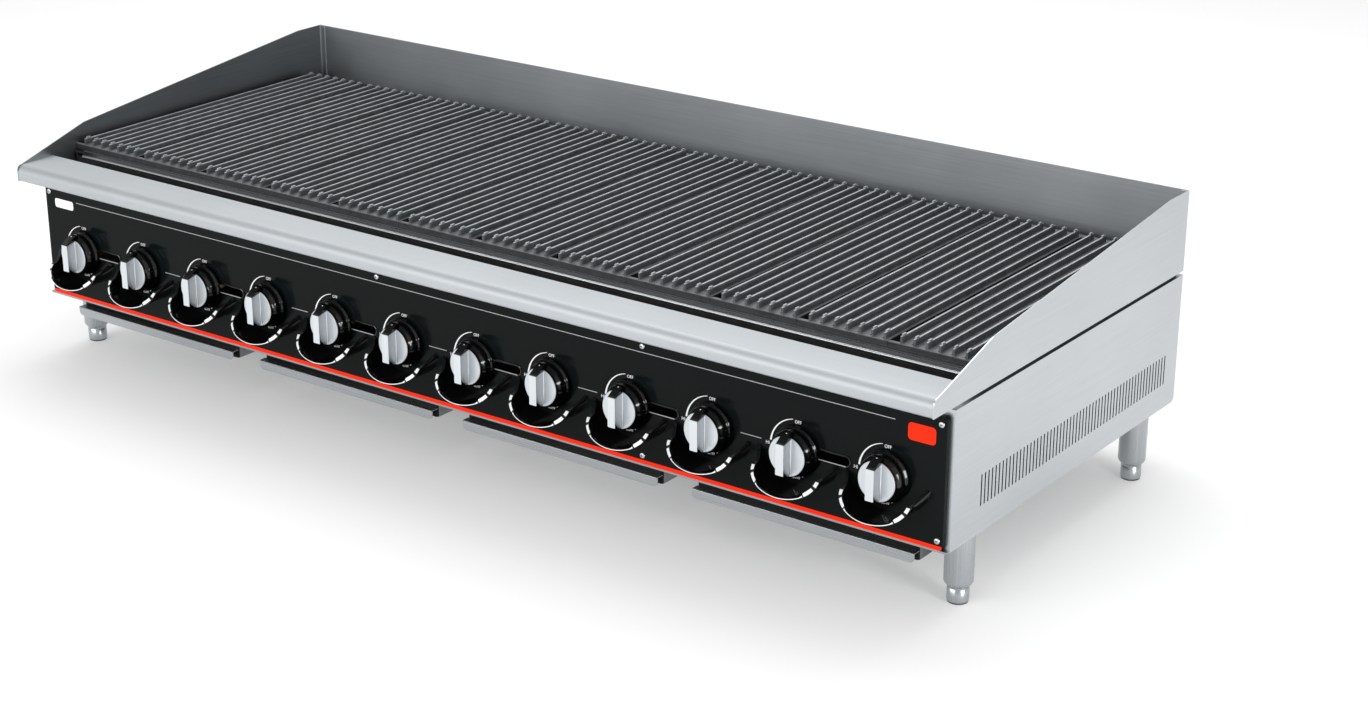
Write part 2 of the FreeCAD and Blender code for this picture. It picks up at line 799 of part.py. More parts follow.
def grate(number):
    """A cast grate section: bars, each with a ledge, joined by ribs and end plates."""
    name = f"Grate{number + 1:02d}"
    body = new_body(name, grate_across(number))
    half, foot = "Dims.grate_width / 2", "Dims.grate_seat"
    length = "Dims.grate_length"
    front_plate = "-Dims.grate_front"
    back_plate = f"-(Dims.grate_front + {length} - Dims.end_plate)"
    for end, start in (("Front", front_plate), ("Back", back_plate)):
        plate = sketch_on(body, "XZ_Plane", name + end, start)
        outline(plate, rectangle(f"-{half}", foot, half, "Dims.trough_top"))
        pad(body, plate, "Dims.end_plate", reverse=True)

    first = "-Dims.bar_first"
    last = f"{first} + Dims.bar_pitch * (Dims.bar_count - 1)"
    bar_start = "-(Dims.grate_front + Dims.bar_setback)"
    bar_length = f"{length} - 2 * Dims.bar_setback"
    bar = sketch_on(body, "XZ_Plane", name + "Bar", bar_start)
    outline(bar, bar_section(first, "Dims.trough_reach"))
    ridge = pad(body, bar, bar_length, reverse=True)
    row_of(body, ridge, "X_Axis", "Dims.bar_pitch", "Dims.bar_count - 1")
    edge_bar = sketch_on(body, "XZ_Plane", name + "EdgeBar", bar_start)
    outline(edge_bar, bar_section(last, f"({half} - ({last}))"))
    pad(body, edge_bar, bar_length, reverse=True)

    ribs = sketch_on(body, "XY_Plane", name + "Ribs", f"{foot} + Dims.overlap")
    near_edge = "Dims.grate_front + Dims.rib_first"
    outline(ribs, rectangle(f"-{half}", near_edge, half, f"{near_edge} + Dims.rib_width"))
    rib = pad(body, ribs, f"Dims.rib_top - {foot} - Dims.overlap")
    row_of(body, rib, "Y_Axis", "Dims.rib_pitch", "Dims.rib_count")

    nub = sketch_on(body, "XY_Plane", name + "Nub", "Dims.grate_top - Dims.overlap")
    inset = "Dims.nub_setback"
    front_nub = f"Dims.grate_front + {inset}"
    back_nub = f"Dims.grate_front + {length} - {inset} - Dims.nub_length"
    for start in (front_nub, back_nub):
        outline(nub, rectangle(f"{first} - Dims.bar_half_top", start,
                               f"{first} + Dims.bar_half_top", f"{start} + Dims.nub_length"))
    bump = pad(body, nub, "Dims.nub_height + Dims.overlap")
    row_of(body, bump, "X_Axis", "Dims.bar_pitch", "Dims.bar_count")
    return sub_part(body, f"grate_{number + 1:02d}")


# --------------------------------------------------------------- gas train

def manifold_pipe():
    """The pipe behind the panel that feeds every valve."""
    start = f"({burner_across(0)} - Dims.manifold_overhang)"
    length = f"Dims.supply_across - Dims.elbow_radius - Dims.elbow_collar - {start}"
    outer = rod("ManifoldOuter", "Dims.manifold_radius", length,
                start, "Dims.manifold_depth", "Dims.knob_height", TURN_TO_RIGHT)
    inner = rod("ManifoldInner", "Dims.manifold_bore", f"{length} - 2 * Dims.manifold_cap",
                f"{start} + Dims.manifold_cap", "Dims.manifold_depth", "Dims.knob_height", TURN_TO_RIGHT)
    return sub_part(cut("Manifold", outer, inner), "manifold_pipe")


def elbow(name, height):
    ball = doc.addObject("Part::Sphere", name)
    ball.setExpression("Radius", "Dims.elbow_radius")
    return seat(ball, "Dims.supply_across", "Dims.manifold_depth", height)


def supply_pipe():
    """The pipe from the inlet at the back, under the firebox, to the manifold."""
    across, depth, radius = "Dims.supply_across", "Dims.manifold_depth", "Dims.manifold_radius"
    reach = "Dims.body_depth + Dims.inlet_reach - Dims.manifold_depth"
    parts = [
        elbow("UpperElbow", "Dims.knob_height"),
        elbow("LowerElbow", "Dims.supply_height"),
        rod("ElbowCollar", "Dims.elbow_radius", "Dims.elbow_radius + Dims.elbow_collar",
            f"{across} - Dims.elbow_radius - Dims.elbow_collar", depth, "Dims.knob_height",
            TURN_TO_RIGHT),
        rod("SupplyRiser", radius, "Dims.knob_height - Dims.supply_height",
            across, depth, "Dims.supply_height"),
        rod("SupplyRun", radius, reach, across, depth, "Dims.supply_height", TURN_TO_BACK),
        rod("InletCollar", "Dims.inlet_collar_radius", "Dims.inlet_collar_length", across,
            "Dims.body_depth + Dims.inlet_collar_proud - Dims.inlet_collar_length",
            "Dims.supply_height", TURN_TO_BACK),
    ]
    bore = rod("SupplyBore", "Dims.manifold_bore", "Dims.inlet_bore_depth", across,
               "Dims.body_depth + Dims.inlet_reach - Dims.inlet_bore_depth",
               "Dims.supply_height", TURN_TO_BACK)
    return sub_part(cut("SupplyPipe", joined("SupplySolid", parts), bore), "supply_pipe")


def gas_valves():
    """Brass valve bodies with bores for their stems and spuds for the burners."""
    valves = []
    for number in BURNERS:
        across = burner_across(number)
        length = "Dims.manifold_depth - Dims.manifold_radius - Dims.valve_front"
        shell = rod(f"ValveShell{number}", "Dims.valve_radius", length,
                    across, "Dims.valve_front", "Dims.knob_height", TURN_TO_BACK)
        riser = rod(f"ValveRiser{number}", "Dims.spud_radius",
                    "Dims.burner_height - Dims.knob_height",
                    across, "Dims.spud_depth", "Dims.knob_height")
        spud = rod(f"ValveSpud{number}", "Dims.spud_radius", "Dims.spud_length",
                   across, "Dims.spud_depth - Dims.spud_radius", "Dims.burner_height",
                   TURN_TO_BACK)
        bore = rod(f"ValveBore{number}", "Dims.stem_radius + Dims.stem_bore_clearance",
                   "Dims.valve_bore_depth", across, "Dims.valve_front", "Dims.knob_height",
                   TURN_TO_BACK)
        solid = joined(f"ValveSolid{number}", [shell, riser, spud])
        valves.append(cut(f"Valve{number}", solid, bore))
    return sub_part(group("GasValves", valves), "gas_valves")


# ------------------------------------------------------------------- knobs

def knob(number):
    """A round knob with a raised grip; its valve stem turns with it."""
    name = f"Knob{number + 1:02d}"
    body = new_body(name, burner_across(number))
    axis = "Dims.knob_height"
    base = "Dims.panel_proud + Dims.skirt_gap"
    skirt = sketch_on(body, "XZ_Plane", name + "Skirt", base)
    circle(skirt, "0", axis, "Dims.skirt_radius")
    drum = pad(body, skirt, "Dims.skirt_front - Dims.skirt_gap")
    front = -size_of("Dims.panel_proud + Dims.skirt_front")

    def front_rim(edge, middle):
        return near(middle.y, front) and len(edge.Vertexes) == 1

    round_edges(body, drum, "Dims.skirt_round", front_rim)

    insert = sketch_on(body, "XZ_Plane", name + "Insert",
                       "Dims.panel_proud + Dims.skirt_front - Dims.overlap")
    circle(insert, "0", axis, "Dims.insert_radius")
    pad(body, insert, "Dims.overlap + Dims.insert_proud")

    grip = sketch_on(body, "YZ_Plane", name + "Grip")
    near_face = "-Dims.panel_proud - Dims.skirt_front + Dims.grip_root"
    far_face = "-Dims.panel_proud - Dims.grip_front"
    outline(grip, [
        (near_face, f"{axis} - Dims.grip_down - Dims.grip_spread"),
        (near_face, f"{axis} + Dims.grip_heel"),
        ("-Dims.panel_proud - Dims.skirt_front - Dims.overlap", f"{axis} + Dims.grip_heel"),
        (far_face, f"{axis} + Dims.grip_up"),
        (far_face, f"{axis} - Dims.grip_down"),
    ])
    handle = pad(body, grip, "2 * Dims.grip_half_width", both_ways=True)
    reach = size_of(far_face)

    def front_edge(edge, middle):
        return near(middle.y, reach)

    round_edges(body, handle, "Dims.grip_round", front_edge)

    stem = sketch_on(body, "XZ_Plane", name + "Stem", "-Dims.valve_front - Dims.stem_lap")
    circle(stem, "0", axis, "Dims.stem_radius")
    pad(body, stem, f"{base} + Dims.valve_front + Dims.stem_lap + Dims.overlap")
    return sub_part(body, f"knob_{number + 1:02d}")


def oval_rod(name, half_width, half_height, across, length):
    """A horizontal rod of oval section that stands out from the panel face."""
    ring = doc.addObject("Part::Ellipse", name + "Ring")
    bind(ring, {"MajorRadius": half_width, "MinorRadius": half_height})
    seat(ring, across, "-Dims.panel_proud", "Dims.knob_height - Dims.guard_bend_drop",
         FreeCAD.Rotation(FreeCAD.Vector(1, 0, 0), 90))
    solid = doc.addObject("Part::Extrusion", name)
    solid.Base = ring
    solid.DirMode = "Custom"
    solid.Dir = FreeCAD.Vector(0, -1, 0)
    solid.Solid = True
    solid.setExpression("LengthFwd", length)
    return solid


def knob_guard(number):
    """A scoop below the knob: the lower half of an oval, and two upright arms."""
    name = f"Guard{number}"
    across = burner_across(number)
    half, wall = "Dims.guard_half_width", "Dims.guard_wall"
    drop = "Dims.guard_depth - Dims.guard_bend_drop"
    reach = "Dims.guard_reach - Dims.panel_proud"
    shell = cut(name + "Shell", oval_rod(name + "Outer", half, drop, across, reach),
                oval_rod(name + "Inner", f"{half} - {wall}", f"{drop} - {wall}", across, reach))
    bend = "Dims.knob_height - Dims.guard_bend_drop"
    clear = f"({half} + Dims.overlap)"
    upper = block(name + "Upper", (f"{across} - {clear}", "-Dims.guard_reach - Dims.overlap", bend),
                  (f"{across} + {clear}", "0", f"{bend} + {drop} + Dims.overlap"))
    parts = [cut(name + "Lower", shell, upper)]
    for side, sign in SIDES.items():
        outer = f"{across} + {sign} * {half}"
        inner = f"{across} + {sign} * ({half} - {wall})"
        low, high = (inner, outer) if sign > 0 else (outer, inner)
        parts.append(block(f"{name}Arm{side.capitalize()}", (low, "-Dims.guard_reach", bend),
                           (high, "-Dims.panel_proud", "Dims.knob_height - Dims.guard_tip_drop")))
    return joined(name, parts)


def knob_guards():
    """All the scoops, cut off along one plane that slopes back as it rises."""
    slope = new_body("GuardSlope")
    section = sketch_on(slope, "YZ_Plane", "GuardSlopeSection")
    foot = "Dims.knob_height - Dims.guard_depth + Dims.guard_wall / 2"
    tip = "Dims.knob_height - Dims.guard_tip_drop"
    beyond = "-Dims.guard_reach - Dims.cutter_reach"
    outline(section, [
        (beyond, foot), ("-Dims.guard_reach", foot),
        ("-Dims.guard_tip_reach", tip), (beyond, tip),
    ])
    pad(slope, section, "Dims.overall_width", both_ways=True)
    scoops = group("GuardBlanks", [knob_guard(number) for number in BURNERS])
    return sub_part(cut("KnobGuards", scoops, slope), "knob_guards")


# -------------------------------------------------------------- drip trays

def tray_across(number):
    return f"({number} - (Dims.tray_count - 1) / 2) * 3 * Dims.burner_pitch"


def drip_tray(number):
    """An open pan with side flanges that slide on runners and a front pull."""
    name = f"Tray{number + 1}"
    middle = tray_across(number)
    half, gauge = "Dims.tray_width / 2", "Dims.tray_gauge"
    front, back = "Dims.tray_front", "Dims.tray_front + Dims.tray_length"
    pan = block(name + "Pan", (f"{middle} - {half}", front, "Dims.tray_floor"),
                (f"{middle} + {half}", back, "Dims.tray_rim"))
    inside = block(name + "Inside",
                   (f"{middle} - {half} + {gauge}", f"{front} + {gauge}", f"Dims.tray_floor + {gauge}"),
                   (f"{middle} + {half} - {gauge}", f"{back} - {gauge}", f"Dims.tray_rim + {gauge}"))
    flange = "Dims.tray_flange"
    wings = block(name + "Wings",
                  (f"{middle} - {half} - {flange}", f"{front} + Dims.tray_setback",
                   f"Dims.tray_rim - {gauge}"),
                  (f"{middle} + {half} + {flange}", back, "Dims.tray_rim"))
    pull_top = "Dims.tray_floor + Dims.pull_height"
    shelf = block(name + "PullShelf",
                  (f"{middle} - {half}", f"{front} - Dims.pull_reach", f"{pull_top} - {gauge}"),
                  (f"{middle} + {half}", front, pull_top))
    drop = block(name + "PullDrop",
                 (f"{middle} - {half}", f"{front} - Dims.pull_reach", "Dims.tray_floor"),
                 (f"{middle} + {half}", f"{front} - Dims.pull_reach + {gauge}", pull_top))
    solid = joined(name + "Solid", [pan, wings])
    hollow = cut(name + "Hollow", solid, inside)
    return sub_part(joined(name, [hollow, shelf, drop]), f"drip_tray_{number + 1}")


def tray_runners():
    """Angles under the bottom frame, one each side of every tray."""
    strips = []
    for number in TRAYS:
        for side, sign in SIDES.items():
            wall = f"{tray_across(number)} + {sign} * Dims.tray_width / 2"
            inner = f"{wall} + {sign} * Dims.runner_gap"
            web = f"{wall} + {sign} * (Dims.tray_flange + Dims.runner_gap)"
            outer = f"{web} + {sign} * Dims.tray_gauge"
            name = f"Runner{number}{side.capitalize()}"
            ends = (inner, outer) if sign > 0 else (outer, inner)
            stops = (web, outer) if sign > 0 else (outer, web)
            foot = "Dims.tray_rim - 2 * Dims.tray_gauge - Dims.runner_drop"
            start = "Dims.tray_front + Dims.tray_setback"
            end = "Dims.body_depth - Dims.tray_setback"
            ledge = block(name + "Ledge", (ends[0], start, foot),
                          (ends[1], end, f"{foot} + Dims.tray_gauge"))
            stem = block(name + "Web", (stops[0], start, foot), (stops[1], end, "Dims.leg_height"))
            strips.append(joined(name, [ledge, stem]))
    return sub_part(group("TrayRunners", strips), "tray_runners")


# -------------------------------------------------------------------- legs

LEG_PLACES = {
    "front_left": (-1, "Dims.leg_front"),
    "front_right": (1, "Dims.leg_front"),
    "rear_left": (-1, "Dims.leg_rear"),
    "rear_right": (1, "Dims.leg_rear"),
}


def leg_sleeves():
    """Tubular legs, narrowed at the bottom where the feet screw in."""
    sleeves = []
    for name, (sign, depth) in LEG_PLACES.items():
        across = f"{sign} * ({HALF} - Dims.leg_inset)"
        foot, taper = "Dims.leg_sleeve_foot - Dims.leg_taper", "Dims.leg_taper"
        tube = rod(f"Sleeve_{name}", "Dims.leg_radius", "Dims.leg_height - Dims.leg_sleeve_foot",
                   across, depth, "Dims.leg_sleeve_foot")
        nose = doc.addObject("Part::Cone", f"Nose_{name}")
        bind(nose, {"Radius1": "Dims.foot_radius + Dims.leg_nose_wall",
                    "Radius2": "Dims.leg_radius", "Height": taper})
        seat(nose, across, depth, foot)
        bore = rod(f"Bore_{name}", "Dims.foot_radius + Dims.foot_clearance",
                   "Dims.foot_lap + Dims.foot_travel_room", across, depth, foot)
        sleeves.append(cut(f"Leg_{name}", joined(f"Outer_{name}", [tube, nose]), bore))
    return sub_part(group("LegSleeves", sleeves), "leg_sleeves")


def adjusting_foot(name, sign, depth):
    """A foot that screws down out of its sleeve."""
    across = f"{sign} * ({HALF} - Dims.leg_inset)"
    post = rod(f"Foot_{name}", "Dims.foot_radius",
               "Dims.leg_sleeve_foot - Dims.leg_taper + Dims.foot_lap",
               across, depth, "0")
    return sub_part(post, f"foot_{name}")


def build():
    bores = screw_bores()
    for side, sign in SIDES.items():
        side_panel(side, sign, bores)
        side_splash(side, sign)
        firebox_side(side, sign)
    back_panel()
    cross_rail("front", "-Dims.panel_proud", "Dims.rail_depth", "0", "Dims.rail_upstand", bores)
    rear_edge = "Dims.body_depth - Dims.rail_depth"
    cross_rail("rear", rear_edge, "Dims.body_depth", rear_edge, "Dims.rear_upstand", bores)
    side_rails()
    top_rail(bores)
    control_panel(bores)
    panel_screws()
    front_lip()
    back_splash()
    firebox_front_wall()
    firebox_rear_wall()
    grate_rails()
    burner_supports()
    burners()
    radiants()
    manifold_pipe()
    supply_pipe()
    gas_valves()
    knob_guards()
    tray_runners()
    leg_sleeves()
    for number in BURNERS:
        grate(number)
        knob(number)
    for number in TRAYS:
        drip_tray(number)
    for name, (sign, depth) in LEG_PLACES.items():
        adjusting_foot(name, sign, depth)
    doc.recompute()


def check_document():
    for obj in doc.Objects:
        if "Invalid" in obj.State or "Error" in obj.State:
            raise RuntimeError(f"{obj.Name} is {obj.State}")
    for obj in pieces:
        if obj.Shape.isNull() or not obj.Shape.isValid():
            raise RuntimeError(f"{obj.Label} has no valid shape")


def export_pieces():
    os.makedirs("parts", exist_ok=True)
    for obj in pieces:
        obj.Shape.exportStep(f"parts/{obj.Label}.step")
        print(obj.Label, len(obj.Shape.Solids), round(obj.Shape.Volume))


build()
check_document()
export_pieces()
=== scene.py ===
"""The looks of a 72 inch countertop gas charbroiler, built around its CAD frame.

Pieces are sized in millimetres until their mesh is made; textures, masks, lights and
the camera are in metres.  A place is (across, depth, height): across runs from the
middle to the right, depth runs back from the side panels' front edges, and height is
above the counter.
"""
import math

import bmesh
import bpy
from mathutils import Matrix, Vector

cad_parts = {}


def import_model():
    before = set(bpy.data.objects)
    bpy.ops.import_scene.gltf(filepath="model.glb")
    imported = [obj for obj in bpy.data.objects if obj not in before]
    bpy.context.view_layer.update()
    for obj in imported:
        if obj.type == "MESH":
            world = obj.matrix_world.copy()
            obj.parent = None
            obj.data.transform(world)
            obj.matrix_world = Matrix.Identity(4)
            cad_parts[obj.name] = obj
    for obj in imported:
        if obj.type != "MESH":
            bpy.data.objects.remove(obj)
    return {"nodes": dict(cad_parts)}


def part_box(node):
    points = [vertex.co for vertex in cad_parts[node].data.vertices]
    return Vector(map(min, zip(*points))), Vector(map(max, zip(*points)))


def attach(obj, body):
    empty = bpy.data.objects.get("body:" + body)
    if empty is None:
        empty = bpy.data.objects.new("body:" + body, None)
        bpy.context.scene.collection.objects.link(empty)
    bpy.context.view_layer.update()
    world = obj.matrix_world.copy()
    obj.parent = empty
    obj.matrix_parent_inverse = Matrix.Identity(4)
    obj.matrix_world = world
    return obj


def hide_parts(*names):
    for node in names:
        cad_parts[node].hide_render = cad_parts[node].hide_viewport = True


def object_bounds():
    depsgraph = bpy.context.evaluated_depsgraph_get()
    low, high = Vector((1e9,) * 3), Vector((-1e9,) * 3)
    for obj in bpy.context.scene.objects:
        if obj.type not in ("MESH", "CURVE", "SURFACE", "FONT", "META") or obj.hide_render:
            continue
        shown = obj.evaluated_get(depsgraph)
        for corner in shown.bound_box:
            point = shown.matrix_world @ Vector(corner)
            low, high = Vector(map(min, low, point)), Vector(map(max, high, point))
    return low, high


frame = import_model()
cad_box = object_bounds()

MM = 0.001
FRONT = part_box("left_side_panel")[0].y
HALF = cad_box[1].x / MM


def node_box(node):
    """A CAD node's corners as (across, depth, height) in millimetres."""
    low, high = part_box(node)
    return [Vector((p.x, p.y - FRONT, p.z)) / MM for p in (low, high)]


def middle(node, axis):
    """The middle of a CAD node's box: axis 0 is across, 1 is depth and 2 is height."""
    low, high = node_box(node)
    return (low[axis] + high[axis]) / 2


def numbered(stem, count, digits):
    """The names of a row of CAD nodes."""
    return [f"{stem}_{number:0{digits}d}" for number in range(1, count + 1)]


PANEL_LOW, PANEL_HIGH = node_box("control_panel")
LIP_LOW, LIP_HIGH = node_box("front_lip")
SPLASH_LOW, SPLASH_HIGH = node_box("right_splash")
KNOBS = numbered("knob", 12, 2)
GRATES = numbered("grate", 12, 2)
TRAYS = numbered("drip_tray", 4, 1)
FEET = [f"foot_{end}_{side}" for end in ("front", "rear") for side in ("left", "right")]

# ------------------------------------------------------------- materials

# A Mix node's sockets: one set mixes numbers, another mixes colours.
NUMBER_A, NUMBER_B, NUMBER_OUT = 2, 3, 0
COLOUR_A, COLOUR_B, COLOUR_OUT = 6, 7, 2
# The faint blue of stainless steel, as a share of its red, green and blue.
COOL = (0.955, 1.0, 1.035)


def principled(material):
    return material.node_tree.nodes["Principled BSDF"]


def node_material(name, base, roughness, metallic=0.0, **sockets):
    """A Principled material; the keyword sockets are set as constants."""
    material = bpy.data.materials.new(name)
    material.use_nodes = True
    shader = principled(material)
    shader.inputs["Base Color"].default_value = (*base, 1.0)
    shader.inputs["Roughness"].default_value = roughness
    shader.inputs["Metallic"].default_value = metallic
    for socket, value in sockets.items():
        shader.inputs[socket.replace("_", " ")].default_value = value
    return material


def add(material, kind, **values):
    """A new node; each value goes to the socket of that name, or else to the setting."""
    node = material.node_tree.nodes.new(kind)
    for key, value in values.items():
        if key in node.inputs:
            node.inputs[key].default_value = value
        else:
            setattr(node, key, value)
    return node


def link(material, source, target):
    material.node_tree.links.new(source, target)


def noise(material, scale, stretch=(1, 1, 1), detail=4.0, rough=0.55):
    """A noise value over the object's own coordinates, stretched along its axes."""
    place = add(material, "ShaderNodeTexCoord")
    mapping = add(material, "ShaderNodeMapping", Scale=stretch)
    texture = add(material, "ShaderNodeTexNoise", Scale=scale, Detail=detail, Roughness=rough)
    link(material, place.outputs["Object"], mapping.inputs["Vector"])
    link(material, mapping.outputs["Vector"], texture.inputs["Vector"])
    return texture.outputs["Fac"]


def ramp(material, value, stops):
    """A colour ramp; stops are (position, grey or colour)."""
    node = add(material, "ShaderNodeValToRGB")
    elements = node.color_ramp.elements
    while len(elements) < len(stops):
        elements.new(0.5)
    for element, (position, colour) in zip(elements, stops):
        shade = (colour,) * 3 if isinstance(colour, (int, float)) else colour
        element.position = position
        element.color = (*shade, 1.0)
    link(material, value, node.inputs["Fac"])
    return node.outputs["Color"]


def to_shader(material, value, socket):
    link(material, value, principled(material).inputs[socket])


def bump(material, value, strength, distance):
    node = add(material, "ShaderNodeBump", Strength=strength, Distance=distance)
    link(material, value, node.inputs["Height"])
    to_shader(material, node.outputs["Normal"], "Normal")


def brushed_steel(name, grain, base=0.62, roughness=0.3, contrast=0.06, spread=0.1):
    """Stainless sheet with fine brush lines along the axis whose stretch is small."""
    material = node_material(name, (base,) * 3, roughness, 1.0)
    lines = noise(material, scale=9.0, stretch=grain, detail=6.0, rough=0.7)
    cloud = noise(material, scale=5.0, detail=3.0)
    mix = add(material, "ShaderNodeMix", data_type="FLOAT", Factor=0.35)
    link(material, lines, mix.inputs[NUMBER_A])
    link(material, cloud, mix.inputs[NUMBER_B])
    pattern = mix.outputs[NUMBER_OUT]
    tint = [(place, tuple((base + shift) * share for share in COOL))
            for place, shift in ((0.25, -contrast), (0.75, contrast))]
    to_shader(material, ramp(material, pattern, tint), "Base Color")
    gloss = [(0.2, roughness - spread / 2), (0.8, roughness + spread / 2)]
    to_shader(material, ramp(material, pattern, gloss), "Roughness")
    bump(material, lines, strength=0.08, distance=0.0002)
    return material


def calculate(material, operation, first, second=None):
    """A Math node's result; the first value is a socket, the second a socket or number."""
    node = add(material, "ShaderNodeMath", operation=operation)
    link(material, first, node.inputs[0])
    if isinstance(second, bpy.types.NodeSocket):
        link(material, second, node.inputs[1])
    elif second is not None:
        node.inputs[1].default_value = second
    return node.outputs["Value"]


def shade_front_faces(material, depths, heights, tone):
    """Paints shade: darkens what faces the front or back, between two depths and two heights."""
    least_turn = 0.3
    place = add(material, "ShaderNodeTexCoord")
    facing = add(material, "ShaderNodeSeparateXYZ")
    spot = add(material, "ShaderNodeSeparateXYZ")
    link(material, place.outputs["Normal"], facing.inputs["Vector"])
    link(material, place.outputs["Object"], spot.inputs["Vector"])
    turn = calculate(material, "ABSOLUTE", facing.outputs["Y"])
    mask = calculate(material, "GREATER_THAN", turn, least_turn)
    for axis, (low, high) in (("Y", depths), ("Z", heights)):
        for operation, limit in (("GREATER_THAN", low), ("LESS_THAN", high)):
            test = calculate(material, operation, spot.outputs[axis], limit)
            mask = calculate(material, "MULTIPLY", mask, test)
    plain = principled(material).inputs["Base Color"].links[0].from_socket
    mix = add(material, "ShaderNodeMix", data_type="RGBA")
    link(material, mask, mix.inputs["Factor"])
    link(material, plain, mix.inputs[COLOUR_A])
    mix.inputs[COLOUR_B].default_value = (tone, tone, tone, 1)
    to_shader(material, mix.outputs[COLOUR_OUT], "Base Color")


ACROSS_GRAIN = (0.6, 60, 60)
DEPTH_GRAIN = (60, 0.6, 60)
UPRIGHT_GRAIN = (60, 60, 0.6)

STEEL_ACROSS = brushed_steel("steel_brushed_across", ACROSS_GRAIN)
STEEL_DEPTH = brushed_steel("steel_brushed_back", DEPTH_GRAIN)
STEEL_UPRIGHT = brushed_steel("steel_brushed_upright", UPRIGHT_GRAIN)
STEEL_DARK = brushed_steel("steel_shaded", ACROSS_GRAIN, 0.36, 0.38)
STEEL_SOFT = brushed_steel("steel_soft", ACROSS_GRAIN, 0.4, 0.42)
STEEL_LEDGE = brushed_steel("steel_ledge", ACROSS_GRAIN, 0.49, 0.6, 0.04)
# A darker steel copy for the rail face under the grates: painted shade.
STEEL_RAIL_SHADED = brushed_steel("steel_rail_shaded", ACROSS_GRAIN, 0.17, 0.24, 0.04, 0.08)
STEEL_TRAY = brushed_steel("steel_tray", ACROSS_GRAIN, 0.3, 0.36)
STEEL_PULL = brushed_steel("steel_tray_pull", ACROSS_GRAIN, 0.44, 0.28)
STEEL_SIDE = brushed_steel("steel_brushed_side", DEPTH_GRAIN, 0.56, 0.32)
STEEL_LEG = brushed_steel("steel_leg", UPRIGHT_GRAIN, 0.44, 0.27)
STEEL_SHADED_SIDE = brushed_steel("steel_shaded_side", DEPTH_GRAIN, 0.3, 0.36)
SILVER = brushed_steel("silver_foil", UPRIGHT_GRAIN, 0.66, 0.36, 0.1)
# Lit and shaded copies of the knobs' foil: darker on the grip's sides as painted shade, lighter on
# its face as painted light.
FOIL_SIDE_SHADED = brushed_steel("silver_foil_side_shaded", UPRIGHT_GRAIN, 0.56, 0.4, 0.1)
SILVER_FACE_LIT = brushed_steel("silver_face_lit", UPRIGHT_GRAIN, 0.72, 0.36, 0.05)

# Painted shade, a darker tone, on the trays' front and back walls and on the cheeks of the side
# vents.
ANYWHERE = (-1, 1)
VENT_DEPTHS = (FRONT + 0.07, FRONT + 0.67)
VENT_HEIGHTS = (0.14, 0.2)
shade_front_faces(STEEL_TRAY, ANYWHERE, ANYWHERE, 0.015)
shade_front_faces(STEEL_SIDE, VENT_DEPTHS, VENT_HEIGHTS, 0.012)


def gloss_black(name, colour, roughness, wear, specular, wear_scale, grain_scale):
    """A polished black surface, slightly duller where it is worn."""
    material = node_material(name, colour, roughness, Specular_IOR_Level=specular)
    bright, dull = wear
    gloss = ramp(material, noise(material, wear_scale), [(0.3, bright), (0.8, dull)])
    to_shader(material, gloss, "Roughness")
    bump(material, noise(material, grain_scale, detail=1.0), strength=0.02, distance=0.0001)
    return material


def cast_iron(name, dark, light, roughness, metallic):
    """Cast surface: mottled, with a fine rough grain."""
    material = node_material(name, (dark,) * 3, roughness, metallic)
    mottle = noise(material, 45.0, detail=6.0)
    to_shader(material, ramp(material, mottle, [(0.3, dark), (0.75, light)]), "Base Color")
    gloss = [(0.3, roughness - 0.08), (0.75, roughness + 0.1)]
    to_shader(material, ramp(material, mottle, gloss), "Roughness")
    cast_grain(material)
    return material


def cast_grain(material):
    bump(material, noise(material, 900.0, detail=3.0), strength=0.25, distance=0.0004)


def grate_iron():
    """Seasoned cast iron toned by height: darker low down, as painted shade between the bars, and
    pale on the ridges and ledges, partly worn bare metal and partly painted highlight.
    """
    material = node_material("grate_iron", (0.2, 0.2, 0.2), 0.45, 0.6)
    place = add(material, "ShaderNodeTexCoord")
    split = add(material, "ShaderNodeSeparateXYZ")
    link(material, place.outputs["Object"], split.inputs["Vector"])
    foot, top = 0.352, 0.375
    level = add(material, "ShaderNodeMapRange")
    level.inputs["From Min"].default_value = foot
    level.inputs["From Max"].default_value = top
    link(material, split.outputs["Z"], level.inputs["Value"])
    # Painted shade in the low tones; a painted highlight brightest on the ridges' edges.
    underside, ledge = (0.057, 0.06, 0.063), (0.21, 0.22, 0.23)
    low_flank, high_flank = (0.143, 0.15, 0.158), (0.18, 0.19, 0.2)
    ridge_edge_highlight, ridge = (0.52, 0.55, 0.57), (0.45, 0.48, 0.5)
    tone = ramp(material, level.outputs["Result"], [
        (0.0, underside), (0.36, underside), (0.40, ledge), (0.425, ledge),
        (0.46, low_flank), (0.8, high_flank), (0.83, ridge_edge_highlight), (1.0, ridge)])
    mottle = ramp(material, noise(material, 60.0, detail=6.0), [(0.25, 0.62), (0.75, 1.0)])
    mix = add(material, "ShaderNodeMix", data_type="RGBA", blend_type="MULTIPLY", Factor=1.0)
    link(material, tone, mix.inputs[COLOUR_A])
    link(material, mottle, mix.inputs[COLOUR_B])
    to_shader(material, mix.outputs[COLOUR_OUT], "Base Color")
    gloss = ramp(material, noise(material, 80.0), [(0.3, 0.36), (0.75, 0.58)])
    to_shader(material, gloss, "Roughness")
    cast_grain(material)
    return material


BLACK = gloss_black("black_enamel", (0.004, 0.0055, 0.0055), roughness=0.14, wear=(0.1, 0.18),
                    specular=0.08, wear_scale=14.0, grain_scale=500.0)
PLASTIC = gloss_black("black_plastic", (0.002, 0.002, 0.0022), roughness=0.09, wear=(0.06, 0.14),
                      specular=0.45, wear_scale=40.0, grain_scale=300.0)
IRON = grate_iron()
IRON_DEEP = cast_iron("radiant_iron", 0.03, 0.06, 0.7, 0.2)
